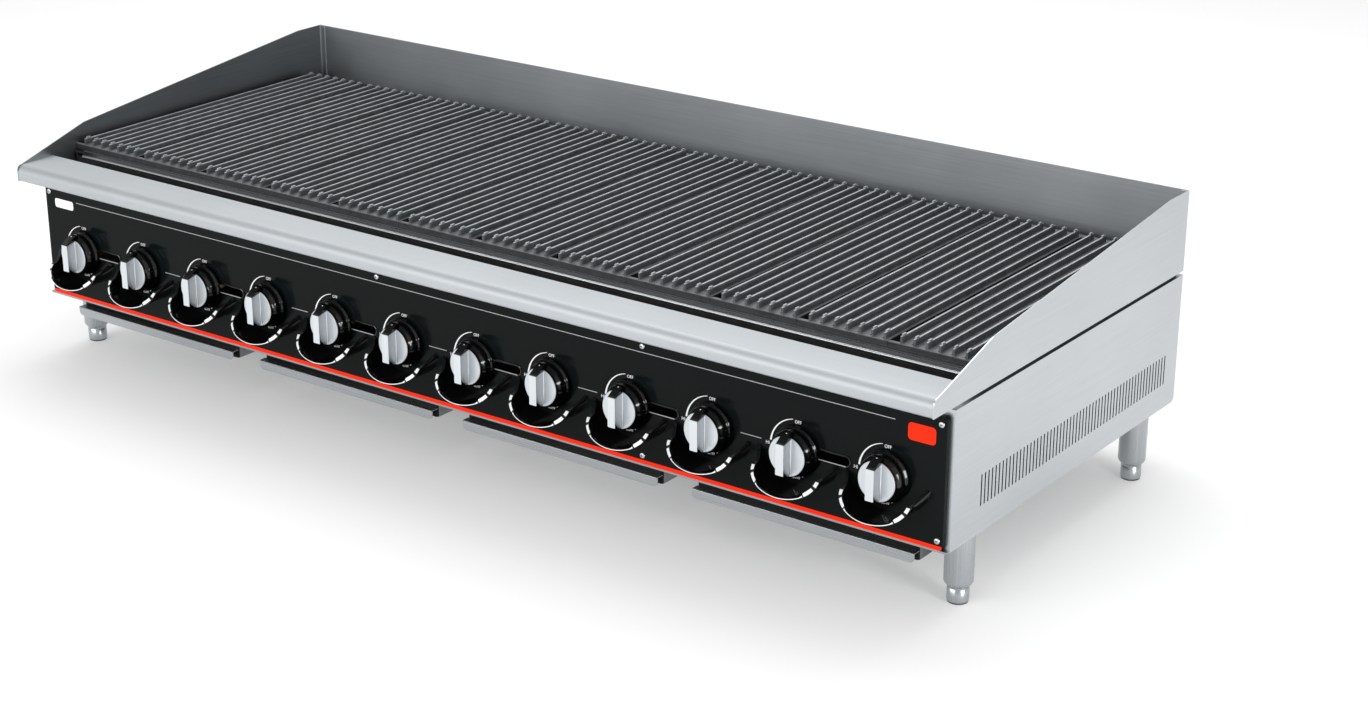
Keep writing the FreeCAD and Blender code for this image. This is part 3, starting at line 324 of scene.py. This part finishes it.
# Soot for the firebox; the same dark paints shade in the screws' cross recesses.
SOOT_AND_SHADE = cast_iron("firebox_soot_and_shade", 0.012, 0.03, 0.6, 0.3)


def paint(name, colour, roughness, specular=0.3):
    material = node_material(name, colour, roughness, Specular_IOR_Level=specular)
    wear = noise(material, 30.0)
    gloss = [(0.3, roughness - 0.05), (0.8, roughness + 0.08)]
    to_shader(material, ramp(material, wear, gloss), "Roughness")
    return material


WHITE = paint("white_print", (0.9, 0.9, 0.9), 0.4)
RED = paint("red_print", (1.0, 0.026, 0.004), 0.35, 0.08)
# Pale print for the pinstripes, also used as a painted highlight along the slots' lower rims.
PALE_PRINT_AND_HIGHLIGHT = paint("pale_print_and_highlight", (0.45, 0.46, 0.47), 0.4)
# Painted highlight for the knob guards' rims.
RIM_HIGHLIGHT = paint("guard_rim_highlight", (0.8, 0.81, 0.83), 0.25)


def brass_metal():
    material = node_material("brass_fitting", (0.6, 0.42, 0.17), 0.35, 1.0)
    tarnished, clean = (0.52, 0.36, 0.14), (0.7, 0.5, 0.22)
    tone = ramp(material, noise(material, 60.0), [(0.3, tarnished), (0.8, clean)])
    to_shader(material, tone, "Base Color")
    return material


BRASS = brass_metal()
RUBBER = cast_iron("black_rubber", 0.01, 0.02, 0.6, 0.0)

# ---------------------------------------------------------- mesh building


class Shape:
    """Vertices and faces of one piece, with a material number per face."""

    def __init__(self):
        self.points = []
        self.faces = []
        self.marks = []

    def add(self, points, faces, mark=0):
        start = len(self.points)
        self.points += [tuple(point) for point in points]
        for face in faces:
            self.faces.append([start + index for index in face])
            self.marks.append(mark)

    def loft(self, loops, closed=False, mark=0):
        """Joins loops of equal count and caps both ends; closed joins last to first instead."""
        count, rows = len(loops[0]), len(loops)
        points = [point for loop in loops for point in loop]
        faces = []
        for row in range(rows if closed else rows - 1):
            after = (row + 1) % rows
            for index in range(count):
                right = (index + 1) % count
                faces.append([row * count + index, row * count + right,
                              after * count + right, after * count + index])
        if not closed:
            faces += [list(range(count))[::-1], list(range((rows - 1) * count, rows * count))]
        self.add(points, faces, mark)

    def prism(self, outline, first, last, axis="x", mark=0):
        """An outline pushed along an axis, between two stations."""
        def place(station):
            if axis == "x":
                return [(station, a, b) for a, b in outline]
            if axis == "y":
                return [(a, station, b) for a, b in outline]
            return [(a, b, station) for a, b in outline]
        self.loft([place(first), place(last)], mark=mark)

    def lathe(self, profile, centre, axis, steps, mark=0):
        """Turns (radius, station) pairs about the z or y axis through the centre."""
        loops = []
        for radius, station in profile:
            loop = []
            for step in range(steps):
                angle = 2 * math.pi * step / steps
                a, b = radius * math.cos(angle), radius * math.sin(angle)
                if axis == "z":
                    loop.append((centre[0] + a, centre[1] + b, centre[2] + station))
                else:
                    loop.append((centre[0] + a, centre[1] + station, centre[2] + b))
            loops.append(loop)
        self.loft(loops, mark=mark)


def make(name, shape, materials, body, bevel=0.0, segments=2, smooth=True, crease=35):
    """Turns a shape into a piece that rides on a body."""
    mesh = bpy.data.meshes.new(name)
    points = [(x * MM, y * MM + FRONT, z * MM) for x, y, z in shape.points]
    mesh.from_pydata(points, [], shape.faces)
    for material in materials:
        mesh.materials.append(material)
    for polygon, mark in zip(mesh.polygons, shape.marks):
        polygon.material_index = mark
    shade(mesh, smooth, crease)
    piece = bpy.data.objects.new(name, mesh)
    bpy.context.scene.collection.objects.link(piece)
    if bevel:
        soften(piece, bevel, segments)
    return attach(piece, body)


def shade(mesh, smooth, crease):
    """Turns the faces outwards and marks edges sharper than a crease in degrees."""
    work = bmesh.new()
    work.from_mesh(mesh)
    bmesh.ops.recalc_face_normals(work, faces=work.faces)
    for face in work.faces:
        face.smooth = smooth
    limit = math.radians(crease)
    for edge in work.edges:
        if len(edge.link_faces) == 2 and edge.calc_face_angle(0) > limit:
            edge.smooth = False
    work.to_mesh(mesh)
    work.free()
    mesh.update()


def soften(piece, width, segments=2):
    """Rounds a piece's sharp edges by a width in millimetres."""
    bevel = piece.modifiers.new("soft_edges", "BEVEL")
    bevel.width = width * MM
    bevel.segments = segments
    bevel.limit_method = "ANGLE"
    bevel.angle_limit = math.radians(30)
    bevel.harden_normals = True


def arc(centre, radius, first, last, steps):
    """Points of a circular arc, in degrees, both ends included."""
    points = []
    for step in range(steps + 1):
        angle = math.radians(first + (last - first) * step / steps)
        points.append((centre[0] + radius * math.cos(angle), centre[1] + radius * math.sin(angle)))
    return points


def dress(node, material, edge):
    """Gives a CAD node that stays its material, and softens its edges."""
    piece = frame["nodes"][node]
    piece.data.materials.clear()
    piece.data.materials.append(material)
    if edge:
        soften(piece, edge)


# ---------------------------------------------------------- CAD nodes kept

for node, material, edge in (
        ("left_side_panel", STEEL_SIDE, 0.15), ("right_side_panel", STEEL_SIDE, 0.15),
        ("left_splash", STEEL_SHADED_SIDE, 0.4), ("right_splash", STEEL_SIDE, 0.4),
        ("back_splash", STEEL_SOFT, 0.4), ("back_panel", STEEL_ACROSS, 0.3),
        ("front_bottom_rail", STEEL_DARK, 0.3), ("rear_bottom_rail", STEEL_ACROSS, 0.3),
        ("side_bottom_rails", STEEL_DEPTH, 0.3), ("front_top_rail", STEEL_DARK, 0.3),
        ("control_panel", BLACK, 0.5), ("grate_rails", STEEL_DARK, 0.4),
        ("firebox_left_wall", SOOT_AND_SHADE, 0.3), ("firebox_right_wall", SOOT_AND_SHADE, 0.3),
        ("firebox_front_wall", SOOT_AND_SHADE, 0.3), ("firebox_rear_wall", SOOT_AND_SHADE, 0.3),
        ("burner_supports", SOOT_AND_SHADE, 0), ("burners", SOOT_AND_SHADE, 0), ("radiants", IRON_DEEP, 0),
        ("manifold_pipe", SOOT_AND_SHADE, 0), ("supply_pipe", STEEL_DARK, 0),
        ("gas_valves", BRASS, 0), ("tray_runners", STEEL_DARK, 0)):
    dress(node, material, edge)
for name in GRATES:
    dress(name, IRON, 0.35)

# ------------------------------------------------------- ledge and splash


def turned(corners, steps=8):
    """A path through corners (depth, height, radius), each rounded by an arc."""
    points = []
    for index, (depth, height, radius) in enumerate(corners):
        if not radius:
            points.append((depth, height))
            continue
        here = Vector((depth, height))
        back = (Vector(corners[index - 1][:2]) - here).normalized()
        onward = (Vector(corners[index + 1][:2]) - here).normalized()
        half_angle = back.angle(onward) / 2
        reach = radius / math.tan(half_angle)
        centre = here + (back + onward).normalized() * (radius / math.sin(half_angle))
        first = here + back * reach - centre
        last = here + onward * reach - centre
        for step in range(steps + 1):
            share = step / steps
            turn = first.lerp(last, share).normalized() * radius
            points.append(tuple(centre + turn))
    return points


def front_ledge():
    """One folded sheet: an underside flange, a rounded nose, a shelf and a back fold."""
    top, foot = LIP_HIGH.z, LIP_LOW.z
    front, back = LIP_LOW.y, LIP_HIGH.y
    gauge, nose, fold = 2, 14, 3
    flange_end, fold_foot = -3, top - 15
    outer = turned([(flange_end, foot, 0), (front, foot, fold), (front, top, nose),
                    (back, top, fold), (back, fold_foot, 0)])
    inner = turned([(back - gauge, fold_foot, 0), (back - gauge, top - gauge, fold - gauge),
                    (front + gauge, top - gauge, nose - gauge),
                    (front + gauge, foot + gauge, fold - gauge), (flange_end, foot + gauge, 0)])
    shape = Shape()
    shape.prism(outer + inner, LIP_LOW.x, LIP_HIGH.x, "x")
    piece = make("front_ledge", shape, [STEEL_LEDGE], "frame", crease=50)
    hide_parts("front_lip")


front_ledge()


def splash_seams():
    """Upright weld flanges in the two back corners of the splash."""
    shape = Shape()
    gauge, width, weld = 2, 12, 3
    back = SPLASH_HIGH.y - gauge
    foot, top = SPLASH_LOW.z + 27, SPLASH_HIGH.z - 1
    for sign in (-1, 1):
        wall = sign * (HALF - gauge)
        outline = [(wall, back), (wall, back - weld), (wall - sign * 2, back - 1.4),
                   (wall - sign * (width - 1), back - 1.2), (wall - sign * width, back)]
        shape.prism(outline, foot, top, "z")
    make("splash_corner_flanges", shape, [STEEL_UPRIGHT], "frame", 0.3)


splash_seams()


def rail_trim():
    """The polished face under the grates' front ends, painted darker as shade, with a rolled lower
    hem.
    """
    low, high = node_box("grate_rails")
    shape = Shape()
    face, foot, top = low.y, low.z + 1.2, high.z
    hem_radius, hem_back = 1.7, face - 0.2
    roll = arc((face - 1.3, foot), hem_radius, 300, 60, 10)
    hem = [(hem_back, foot - 1)] + roll + [(hem_back, foot + 2)]
    sheet = [(face + 0.5, foot + 1), (face - 0.3, foot + 1), (face - 0.3, top - 0.5),
             (face + 0.5, top - 0.5)]
    upper_fold = [(face, top - 1), (face - 0.9, top - 0.6), (face - 1.2, top), (face, top + 0.1)]
    for outline, mark in ((hem, 1), (sheet, 0), (upper_fold, 0)):
        shape.prism(outline, low.x, high.x, "x", mark)
    make("grate_rail_face", shape, [STEEL_RAIL_SHADED, STEEL_ACROSS], "frame", crease=40)


rail_trim()

# ----------------------------------------------------------- control panel

FACE = PANEL_LOW.y
PRINT = 0.15
AXES = [middle(name, 0) for name in KNOBS]
AXIS_HEIGHT = middle(KNOBS[0], 2)
# An access slot, measured from the knob axis at its left.
SLOT_LEFT, SLOT_RIGHT, SLOT_RISE, SLOT_HEIGHT = 27, 87, 3, 13


def ribbon(shape, stations, thick=PRINT):
    """A flat strip on the panel face through (x, z, x, z) pairs of edge points."""
    loops = []
    for first_x, first_z, last_x, last_z in stations:
        loops.append([(first_x, FACE, first_z), (last_x, FACE, last_z),
                      (last_x, FACE - thick, last_z), (first_x, FACE - thick, first_z)])
    shape.loft(loops)


def line(shape, left, right, foot, top, thick=PRINT):
    """A level ribbon with square ends."""
    ribbon(shape, [(left, foot, left, top), (right, foot, right, top)], thick)


def word_mesh(words, width, height):
    """The points and faces of a short word, centred, of a given size."""
    curve = bpy.data.curves.new("word", "FONT")
    curve.body = words
    curve.extrude = 0.01
    curve.resolution_u = 3
    holder = bpy.data.objects.new("word", curve)
    bpy.context.scene.collection.objects.link(holder)
    bpy.context.view_layer.update()
    evaluated = holder.evaluated_get(bpy.context.evaluated_depsgraph_get())
    mesh = bpy.data.meshes.new_from_object(evaluated)
    points = [vertex.co.copy() for vertex in mesh.vertices]
    faces = [list(polygon.vertices) for polygon in mesh.polygons]
    low = Vector([min(point[axis] for point in points) for axis in range(3)])
    high = Vector([max(point[axis] for point in points) for axis in range(3)])
    size, centre = high - low, (low + high) / 2
    points = [((p.x - centre.x) / size.x * width, (p.y - centre.y) / size.y * height,
               (p.z - low.z) / size.z * PRINT) for p in points]
    bpy.data.objects.remove(holder)
    bpy.data.curves.remove(curve)
    bpy.data.meshes.remove(mesh)
    return points, faces


def tapered_arc(shape, across):
    """The printed arc at a knob's upper left, broad at its left end."""
    radius, steps = 46, 22
    start, sweep, broad, fine = 174, 73, 3.0, 0.8
    stations = []
    for step in range(steps + 1):
        share = step / steps
        angle = math.radians(start - sweep * share)
        half = (broad - (broad - fine) * share) / 2
        near, far = radius - half, radius + half
        stations.append((across + near * math.cos(angle), AXIS_HEIGHT + near * math.sin(angle),
                         across + far * math.cos(angle), AXIS_HEIGHT + far * math.sin(angle)))
    ribbon(shape, stations)


def dial_print():
    """OFF, HI and LOW, the tapered arc and the dash round every knob."""
    shape = Shape()
    height = 5
    words = [(word_mesh("OFF", 11, height), 0, 42.5), (word_mesh("HI", 6, height), -51, 0),
             (word_mesh("LOW", 12.5, height), -1, -41.8)]
    for across in AXES:
        for (points, faces), right, up in words:
            shape.add([(across + right + x, FACE - z, AXIS_HEIGHT + up + y) for x, y, z in points],
                      faces)
        tapered_arc(shape, across)
        ribbon(shape, [(across + 8, AXIS_HEIGHT - 38, across + 9, AXIS_HEIGHT - 40),
                       (across + 16, AXIS_HEIGHT - 30, across + 18, AXIS_HEIGHT - 30)])
    make("dial_print", shape, [WHITE], "frame", smooth=False)


def stripes():
    """Fine light lines: printed ones near the top and in gaps with no slot, and a painted highlight
    along each slot's lower rim.
    """
    shape = Shape()
    line(shape, -830, 825, 285.5, 286.5)
    # The lines along the slots' lower rims are painted highlights, laid over the bezels.
    over_bezel = 2.05
    for across in AXES[::2]:
        line(shape, across + 33, across + 82, 195.4, 196.3, over_bezel)
    for left, right in zip(AXES[1:-1:2], AXES[2:-1:2]):
        line(shape, left + 50, right - 62, 202.5, 203.5)
    make("panel_pinstripes_and_slot_highlights", shape, [PALE_PRINT_AND_HIGHLIGHT], "frame", smooth=False)


def red_stripe():
    """The stripe along the panel's lower edge, with its lower corners cut off."""
    shape = Shape()
    end = PANEL_HIGH.x - 1.5
    foot, corner, top, cut = 109.3, 111, 115.4, 3
    ribbon(shape, [(-end, corner, -end, top), (-end + cut, foot, -end + cut, top),
                   (end - cut, foot, end - cut, top), (end, corner, end, top)])
    make("panel_red_stripe", shape, [RED], "frame", smooth=False)


def rounded_box(left, foot, right, top, radius, steps=5):
    """The outline of a rectangle with rounded corners, as (x, z) pairs."""
    points = []
    for x, z, first in ((right, foot, 270), (right, top, 0), (left, top, 90), (left, foot, 180)):
        centre = (x - radius if x == right else x + radius,
                  z - radius if z == top else z + radius)
        points += arc(centre, radius, first, first + 90, steps)
    return points


def raised_plate(name, outline, material):
    """A plate on the panel face with a chamfered front edge."""
    front, inset = FACE - 0.6, 0.3
    middle_x = sum(x for x, z in outline) / len(outline)
    middle_z = sum(z for x, z in outline) / len(outline)
    reach_x = max(x for x, z in outline) - middle_x
    reach_z = max(z for x, z in outline) - middle_z
    inner = [(middle_x + (x - middle_x) * (1 - inset / reach_x),
              middle_z + (z - middle_z) * (1 - inset / reach_z)) for x, z in outline]
    shape = Shape()
    shape.loft([[(x, FACE, z) for x, z in outline], [(x, front + inset, z) for x, z in outline],
                [(x, front, z) for x, z in inner]])
    make(name, shape, [material], "frame")


def plain_plates():
    """Two small plates with nothing on them, where a maker would put a mark."""
    raised_plate("plate_white", rounded_box(-884, 270, -838, 286, 4), WHITE)
    raised_plate("plate_red", rounded_box(846, 262, 890, 288, 6), RED)


def slot_bezels():
    """A thin raised rim round every access slot."""
    shape = Shape()
    height = AXIS_HEIGHT + SLOT_RISE
    low, high = height - SLOT_HEIGHT / 2, height + SLOT_HEIGHT / 2
    for across in AXES[::2]:
        loops = []
        for margin, depth in ((0.1, FACE + 1), (0.1, FACE - 0.9), (0.7, FACE - 1.7),
                              (1.7, FACE - 1.9), (2.8, FACE - 1.3), (3.2, FACE)):
            outline = rounded_box(across + SLOT_LEFT - margin, low - margin,
                                  across + SLOT_RIGHT + margin, high + margin,
                                  SLOT_HEIGHT / 2 + margin - 0.01, 8)
            loops.append([(x, depth, z) for x, z in outline])
        shape.loft(loops, closed=True)
    make("slot_bezels", shape, [PLASTIC], "frame")


def screws():
    """Cross-head pan screws with domed heads."""
    low, high = node_box("panel_screws")
    radius, stem, stem_length = 4.6, 2, 12
    inner_columns = (-129.7, 392.7)
    places = [(x, z) for x in (low.x + radius, high.x - radius, *inner_columns)
              for z in (low.z + radius, high.z - radius)]
    dome = [(stem, stem_length), (stem, 0), (radius, 0), (radius, -0.5), (4.2, -1.2),
            (3.4, -1.7), (2.2, -2.05), (0.8, -2.15)]
    cross_length, cross_width = 2.3, 0.45
    shape = Shape()
    for x, z in places:
        shape.lathe(dome, (x, FACE, z), "y", 28)
        # Each cross is a flat dark patch on the dome: painted shade where the recess would be.
        for reach, half in ((cross_length, cross_width), (cross_width, cross_length)):
            outline = [(x - reach, z - half), (x + reach, z - half), (x + reach, z + half),
                       (x - reach, z + half)]
            shape.prism(outline, FACE - 2.2, FACE - 1.6, "y", 1)
    piece = make("panel_screw_heads", shape, [STEEL_UPRIGHT, SOOT_AND_SHADE], "frame")
    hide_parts("panel_screws")


dial_print()
stripes()
red_stripe()
plain_plates()
slot_bezels()
screws()

# ------------------------------------------------------------------- knobs

# How far the dial and the grip stand out from the panel, and their radius and half width.
DIAL_OUT, DIAL_RADIUS = 28, 30
GRIP_OUT, GRIP_HALF = 46, 7


def turned_on_knob(shape, profile, across, up=0, steps=72, mark=0):
    """Turns (radius, distance out from the panel) pairs about a knob's axis."""
    shape.lathe([(radius, -out) for radius, out in profile], (across, FACE, AXIS_HEIGHT + up),
                "y", steps, mark)


def knob_skirt(name, across):
    """The stem, a flange near the panel and a drum, all turned as one."""
    stem = [(4, -24), (4, 3.2)]
    flange = [(36.8, 3.2), (37.7, 3.7), (38, 4.8), (37.9, 6.4), (37.2, 7.8), (36, 9.2)]
    drum = [(35.1, 10.6), (34.7, 12.4), (34.5, 16.6), (34.3, 17.8)]
    shoulder = [(33.8, 19), (32.6, 21.2), (30.9, 24), (30.5, 25), (30.4, 27.2)]
    rim = [(DIAL_RADIUS + 0.1, 27.8), (DIAL_RADIUS - 1, DIAL_OUT)]
    shape = Shape()
    turned_on_knob(shape, stem + flange + drum + shoulder + rim, across)
    piece = make(f"{name}_skirt", shape, [PLASTIC], name, crease=60)
    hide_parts(name)


def knob_dial(name, across):
    """A silver disc with a chamfered, brighter rim."""
    profile = [(DIAL_RADIUS - 0.2, DIAL_OUT - 0.3), (DIAL_RADIUS, DIAL_OUT + 0.3),
               (DIAL_RADIUS - 0.7, DIAL_OUT + 0.9), (DIAL_RADIUS - 1.6, DIAL_OUT + 0.9)]
    shape = Shape()
    turned_on_knob(shape, profile, across)
    make(f"{name}_dial", shape, [SILVER], name, crease=25)


def knob_grip(name, across):
    """A black bar whose heel slopes down to a pointer above the dial."""
    side = [(20, -27), (20, 36.6), (25.5, 37.2), (28.4, 36.2), (GRIP_OUT, 24.5), (GRIP_OUT, -24)]
    shape = Shape()
    shape.prism([(FACE - out, AXIS_HEIGHT + up) for out, up in side],
                across - GRIP_HALF, across + GRIP_HALF, "x")
    make(f"{name}_grip", shape, [PLASTIC], name, 0.9, 3)


def knob_trim(name, across):
    """Silver foil on the grip's face and sides, and a white dot on the pointer; the face's foil is
    painted lighter and the sides' darker, as painted light and shade.
    """
    shape = Shape()
    foil = 0.3
    half = GRIP_HALF - foil
    face = rounded_box(across - half, AXIS_HEIGHT - 23.2, across + half, AXIS_HEIGHT + 23.7, 1.2, 3)
    shape.loft([[(x, FACE - out, z) for x, z in face] for out in (GRIP_OUT - 0.2, GRIP_OUT + 0.4)])

    # The foil on a side ends below in an arc from the face down to the dial.
    near, far = DIAL_OUT + 0.6, GRIP_OUT - 0.5
    reach, sweep, arc_top, steps = 27.8, 29.6, 8, 12
    leaf = [(near, reach), (far, 24)]
    for step in range(steps + 1):
        up = arc_top - step * (arc_top + reach) / steps
        out = DIAL_OUT - GRIP_HALF + math.sqrt(sweep ** 2 - up ** 2)
        leaf.append((min(far, max(near, out)), up))
    fold = [(0, near), (1.3, near), (0.7, near + 0.5), (0.2, near + 1.4)]
    fold_reach = 27
    for sign in (-1, 1):
        wall = across + sign * GRIP_HALF
        shape.prism([(FACE - out, AXIS_HEIGHT + up) for out, up in leaf],
                    wall - sign * foil, wall + sign * foil, "x", 2)
        shape.prism([(wall + sign * aside, FACE - out) for aside, out in fold],
                    AXIS_HEIGHT - fold_reach, AXIS_HEIGHT + fold_reach, "z")

    dot = [(1.5, 27.6), (1.5, 29.4), (1.1, 29.7)]
    turned_on_knob(shape, dot, across, up=34.6, steps=16, mark=1)
    make(f"{name}_trim", shape, [SILVER_FACE_LIT, WHITE, FOIL_SIDE_SHADED], name)


for name, across in zip(KNOBS, AXES):
    knob_skirt(name, across)
    knob_dial(name, across)
    knob_grip(name, across)
    knob_trim(name, across)

# ------------------------------------------------------------ knob guards

# A scoop is half an ellipse round the knob's axis.  These are its half width and its
# tips' height at the rim, the same where it meets the panel, and its lowest height.
RIM_HALF, RIM_TIP = 57, -24
ROOT_HALF, ROOT_TIP = 69.5, -6
GUARD_FOOT = -55
# How far the rim stands out at its lowest point, and how it slopes back above it.
RIM_OUT, RIM_SLOPE = 54.2, 0.757
THIN_WALL, THICK_WALL = 2.2, 6.2
# The angles round the scoop, in degrees, between which its rim carries a painted highlight.
RIM_HIGHLIGHT_RUNS = ((181, 194), (201, 222), (225, 315), (318, 339), (346, 359))


def guard_wall(angle):
    """The wall's thickness: thin under the knob, thick near both tips."""
    thickens_from, over = 0.66, 0.12
    side = (abs(math.cos(math.radians(angle))) - thickens_from) / over
    side = min(max(side, 0), 1)
    return THIN_WALL + (THICK_WALL - THIN_WALL) * side * side * (3 - 2 * side)


def guard_point(angle, share, inset):
    """A point of the scoop: angle round it, share of the way out, inset from outside."""
    turn = math.radians(angle)
    cos, sin = math.cos(turn), math.sin(turn)
    drop = RIM_TIP - GUARD_FOOT
    across, up = RIM_HALF * cos, RIM_TIP + drop * sin
    out = RIM_OUT - RIM_SLOPE * (up - GUARD_FOOT)
    root_across, root_up = ROOT_HALF * cos, ROOT_TIP + (ROOT_TIP - GUARD_FOOT) * sin
    flare = (1 - share) ** 2
    normal = Vector((cos / RIM_HALF, sin / drop)).normalized()
    x = across + (root_across - across) * flare - normal.x * inset
    z = up + (root_up - up) * flare - normal.y * inset
    return x, share * out, z


def guard(shape, across):
    """A scoop that flares onto the panel, with a rim that slopes back as it rises."""
    rows = []
    steps, depth_steps = 48, 7
    for step in range(steps + 1):
        angle = 180 + 180 * step / steps
        wall = guard_wall(angle)
        ring = [(share / depth_steps, 0) for share in range(depth_steps)]
        ring += [(0.975, 0), (0.994, 0.3), (1, 1.0), (1, wall - 1.0), (0.994, wall - 0.3),
                 (0.975, wall)]
        ring += [(share / depth_steps, wall) for share in reversed(range(depth_steps))]
        row = []
        for share, inset in ring:
            x, out, z = guard_point(angle, share, inset)
            row.append((across + x, FACE - out, AXIS_HEIGHT + z))
        rows.append(row)
    shape.loft(rows)


def guards():
    shape = Shape()
    for across in AXES:
        guard(shape, across)
    piece = make("knob_guard_scoops", shape, [PLASTIC], "frame", crease=70)
    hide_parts("knob_guards")


def guard_rim_highlights():
    """A painted highlight along each rim: a fine line below, and broad pads on the arms."""
    shape = Shape()
    steps, margin, proud = 16, 0.5, 0.2
    for across in AXES:
        for first, last in RIM_HIGHLIGHT_RUNS:
            rows = []
            for step in range(steps + 1):
                angle = first + (last - first) * step / steps
                far = guard_wall(angle) - margin
                row = []
                for inset, rise in ((margin, -proud), (far, -proud), (far, proud), (margin, proud)):
                    x, out, z = guard_point(angle, 1, inset)
                    row.append((across + x, FACE - out - rise, AXIS_HEIGHT + z))
                rows.append(row)
            shape.loft(rows)
    make("knob_guard_rim_highlights", shape, [RIM_HIGHLIGHT], "frame", crease=70)


guards()
guard_rim_highlights()

# ------------------------------------------------------------ drip trays

TRAY_RIM, TRAY_FRONT, TRAY_GAUGE = 4, 15, 1.5
PULL_HEIGHT, PULL_CORNER = 15.5, 8


def tray_pan(name):
    """A pan with round corners and a turned-out rim."""
    low, high = node_box(name)
    left, right = low.x + TRAY_RIM, high.x - TRAY_RIM
    gauge = TRAY_GAUGE
    shape = Shape()
    loops = []
    for margin, height, radius in ((0, low.z, 5), (0, high.z - gauge, 5),
                                   (TRAY_RIM, high.z - gauge, 6), (TRAY_RIM, high.z, 6),
                                   (-gauge, high.z, 4), (-gauge, low.z + gauge, 4)):
        front, back = TRAY_FRONT - min(margin, 0), high.y + min(margin, 0)
        outline = rounded_box(left - margin, front, right + margin, back, radius)
        loops.append([(x, y, height) for x, y in outline])
    shape.loft(loops)
    piece = make(f"{name}_pan", shape, [STEEL_TRAY], name, 0.3)
    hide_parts(name)


def tray_pull(name):
    """A folded pull with round lower corners and a rolled upper edge."""
    low, high = node_box(name)
    left, right = low.x + TRAY_RIM, high.x - TRAY_RIM
    foot, top, corner = low.z, low.z + PULL_HEIGHT, PULL_CORNER
    shape = Shape()
    plate = arc((left + corner, foot + corner), corner, 180, 270, 6)
    plate += arc((right - corner, foot + corner), corner, 270, 360, 6)
    plate += [(right, top - 0.6), (right - 0.6, top), (left + 0.6, top), (left, top - 0.6)]
    shape.prism(plate, low.y, low.y + TRAY_GAUGE, "y")
    near, far, under = low.y + TRAY_GAUGE - 0.2, TRAY_FRONT + 0.4, top - TRAY_GAUGE
    shape.prism([(near, under), (far, under), (far, top), (near, top)], left, right, "x")
    bead = [(low.y - 0.3 + depth, top - 1 + height)
            for depth, height in arc((0, 0), 0.9, 90, 270, 6)]
    bead += [(low.y + 0.2, top - 1.9), (low.y + 0.2, top - 0.1)]
    shape.prism(bead, left + 1, right - 1, "x")
    make(f"{name}_pull", shape, [STEEL_PULL], name, 0.3)


for name in TRAYS:
    tray_pan(name)
    tray_pull(name)

# ------------------------------------------------------------------- legs

SLEEVE_RADIUS, BORE_RADIUS, POST_RADIUS = 21.7, 16.5, 16.2


def turned_on_foot(shape, profile, foot):
    """Turns (radius, height) pairs about a foot's axis."""
    shape.lathe(profile, (middle(foot, 0), middle(foot, 1), 0), "z", 56)


def leg_sleeves():
    """Turned sleeves: a rounded shoulder above a blind bore for the foot."""
    shape = Shape()
    top = node_box("leg_sleeves")[1].z
    foot, bore_top = 27, 66
    shoulder = [(SLEEVE_RADIUS, 34.5), (21.4, 32.6), (20.4, 30.6), (18.9, 28.7), (17.9, 27.3)]
    profile = [(SLEEVE_RADIUS, top), *shoulder, (17.4, foot), (BORE_RADIUS, foot),
               (BORE_RADIUS, bore_top)]
    for name in FEET:
        turned_on_foot(shape, profile, name)
    piece = make("leg_sleeves_turned", shape, [STEEL_LEG], "frame", crease=50)
    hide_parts("leg_sleeves")


def foot(name):
    """A steel foot with a dark pad under it."""
    steel = Shape()
    top = node_box(name)[1].z
    rounded_end = [(14.6, 1.8), (15.4, 2.2), (16.0, 3.4), (POST_RADIUS, 5)]
    groove = [(POST_RADIUS, 23), (15.9, 23.3), (15.9, 23.9), (POST_RADIUS, 24.2)]
    profile = rounded_end + groove + [(POST_RADIUS, top)]
    turned_on_foot(steel, profile, name)
    piece = make(f"{name}_post", steel, [STEEL_LEG], name, crease=50)
    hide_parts(name)
    pad = Shape()
    turned_on_foot(pad, [(14.4, 0), (15.0, 0.4), (15.2, 1.2), (14.9, 2.3)], name)
    make(f"{name}_pad", pad, [RUBBER], name, crease=60)


leg_sleeves()
for name in FEET:
    foot(name)

# ------------------------------------------------- stage, camera, lights


def floor():
    """A wide white counter."""
    bpy.ops.mesh.primitive_plane_add(size=40)
    plane = bpy.context.object
    plane.name = "floor"
    white = node_material("floor_white", (0.68, 0.68, 0.68), 0.9, Emission_Strength=0.25,
                          Emission_Color=(1, 1, 1, 1))
    plane.data.materials.append(white)


def camera():
    """The photo's own viewpoint, solved from the object's straight edges."""
    data = bpy.data.cameras.new("camera")
    data.lens = 65.99
    data.sensor_width = 36.0
    data.clip_end = 50
    eye = bpy.data.objects.new("camera", data)
    eye.location = (2.4512, -2.7435 + FRONT, 1.5861)
    eye.rotation_euler = [math.radians(angle) for angle in (69.03, -0.16, 36.0)]
    bpy.context.scene.collection.objects.link(eye)
    bpy.context.scene.camera = eye


def area_light(name, place, target, size, power):
    """A rectangular softbox that points at a target."""
    data = bpy.data.lights.new(name, "AREA")
    data.shape = "RECTANGLE"
    data.size, data.size_y = size
    data.energy = power
    lamp = bpy.data.objects.new(name, data)
    lamp.location = place
    lamp.rotation_euler = (Vector(target) - Vector(place)).to_track_quat("-Z", "Y").to_euler()
    bpy.context.scene.collection.objects.link(lamp)


def world(strength):
    """An even white studio all round."""
    sky = bpy.data.worlds.new("studio")
    sky.use_nodes = True
    background = sky.node_tree.nodes["Background"]
    background.inputs["Color"].default_value = (1, 1, 1, 1)
    background.inputs["Strength"].default_value = strength
    bpy.context.scene.world = sky


floor()
camera()
world(0.72)
area_light("top_softbox", (-0.5, 1.4, 3.4), (-0.2, 0.4, 0.3), (4.6, 2.8), 90)
area_light("right_softbox", (3.2, -0.9, 0.6), (0, -0.3, 0.25), (0.7, 1.1), 38)
area_light("front_fill", (-1.0, -3.6, 1.1), (0, -0.3, 0), (3.2, 1.2), 60)

bpy.context.scene.view_settings.view_transform = "Standard"
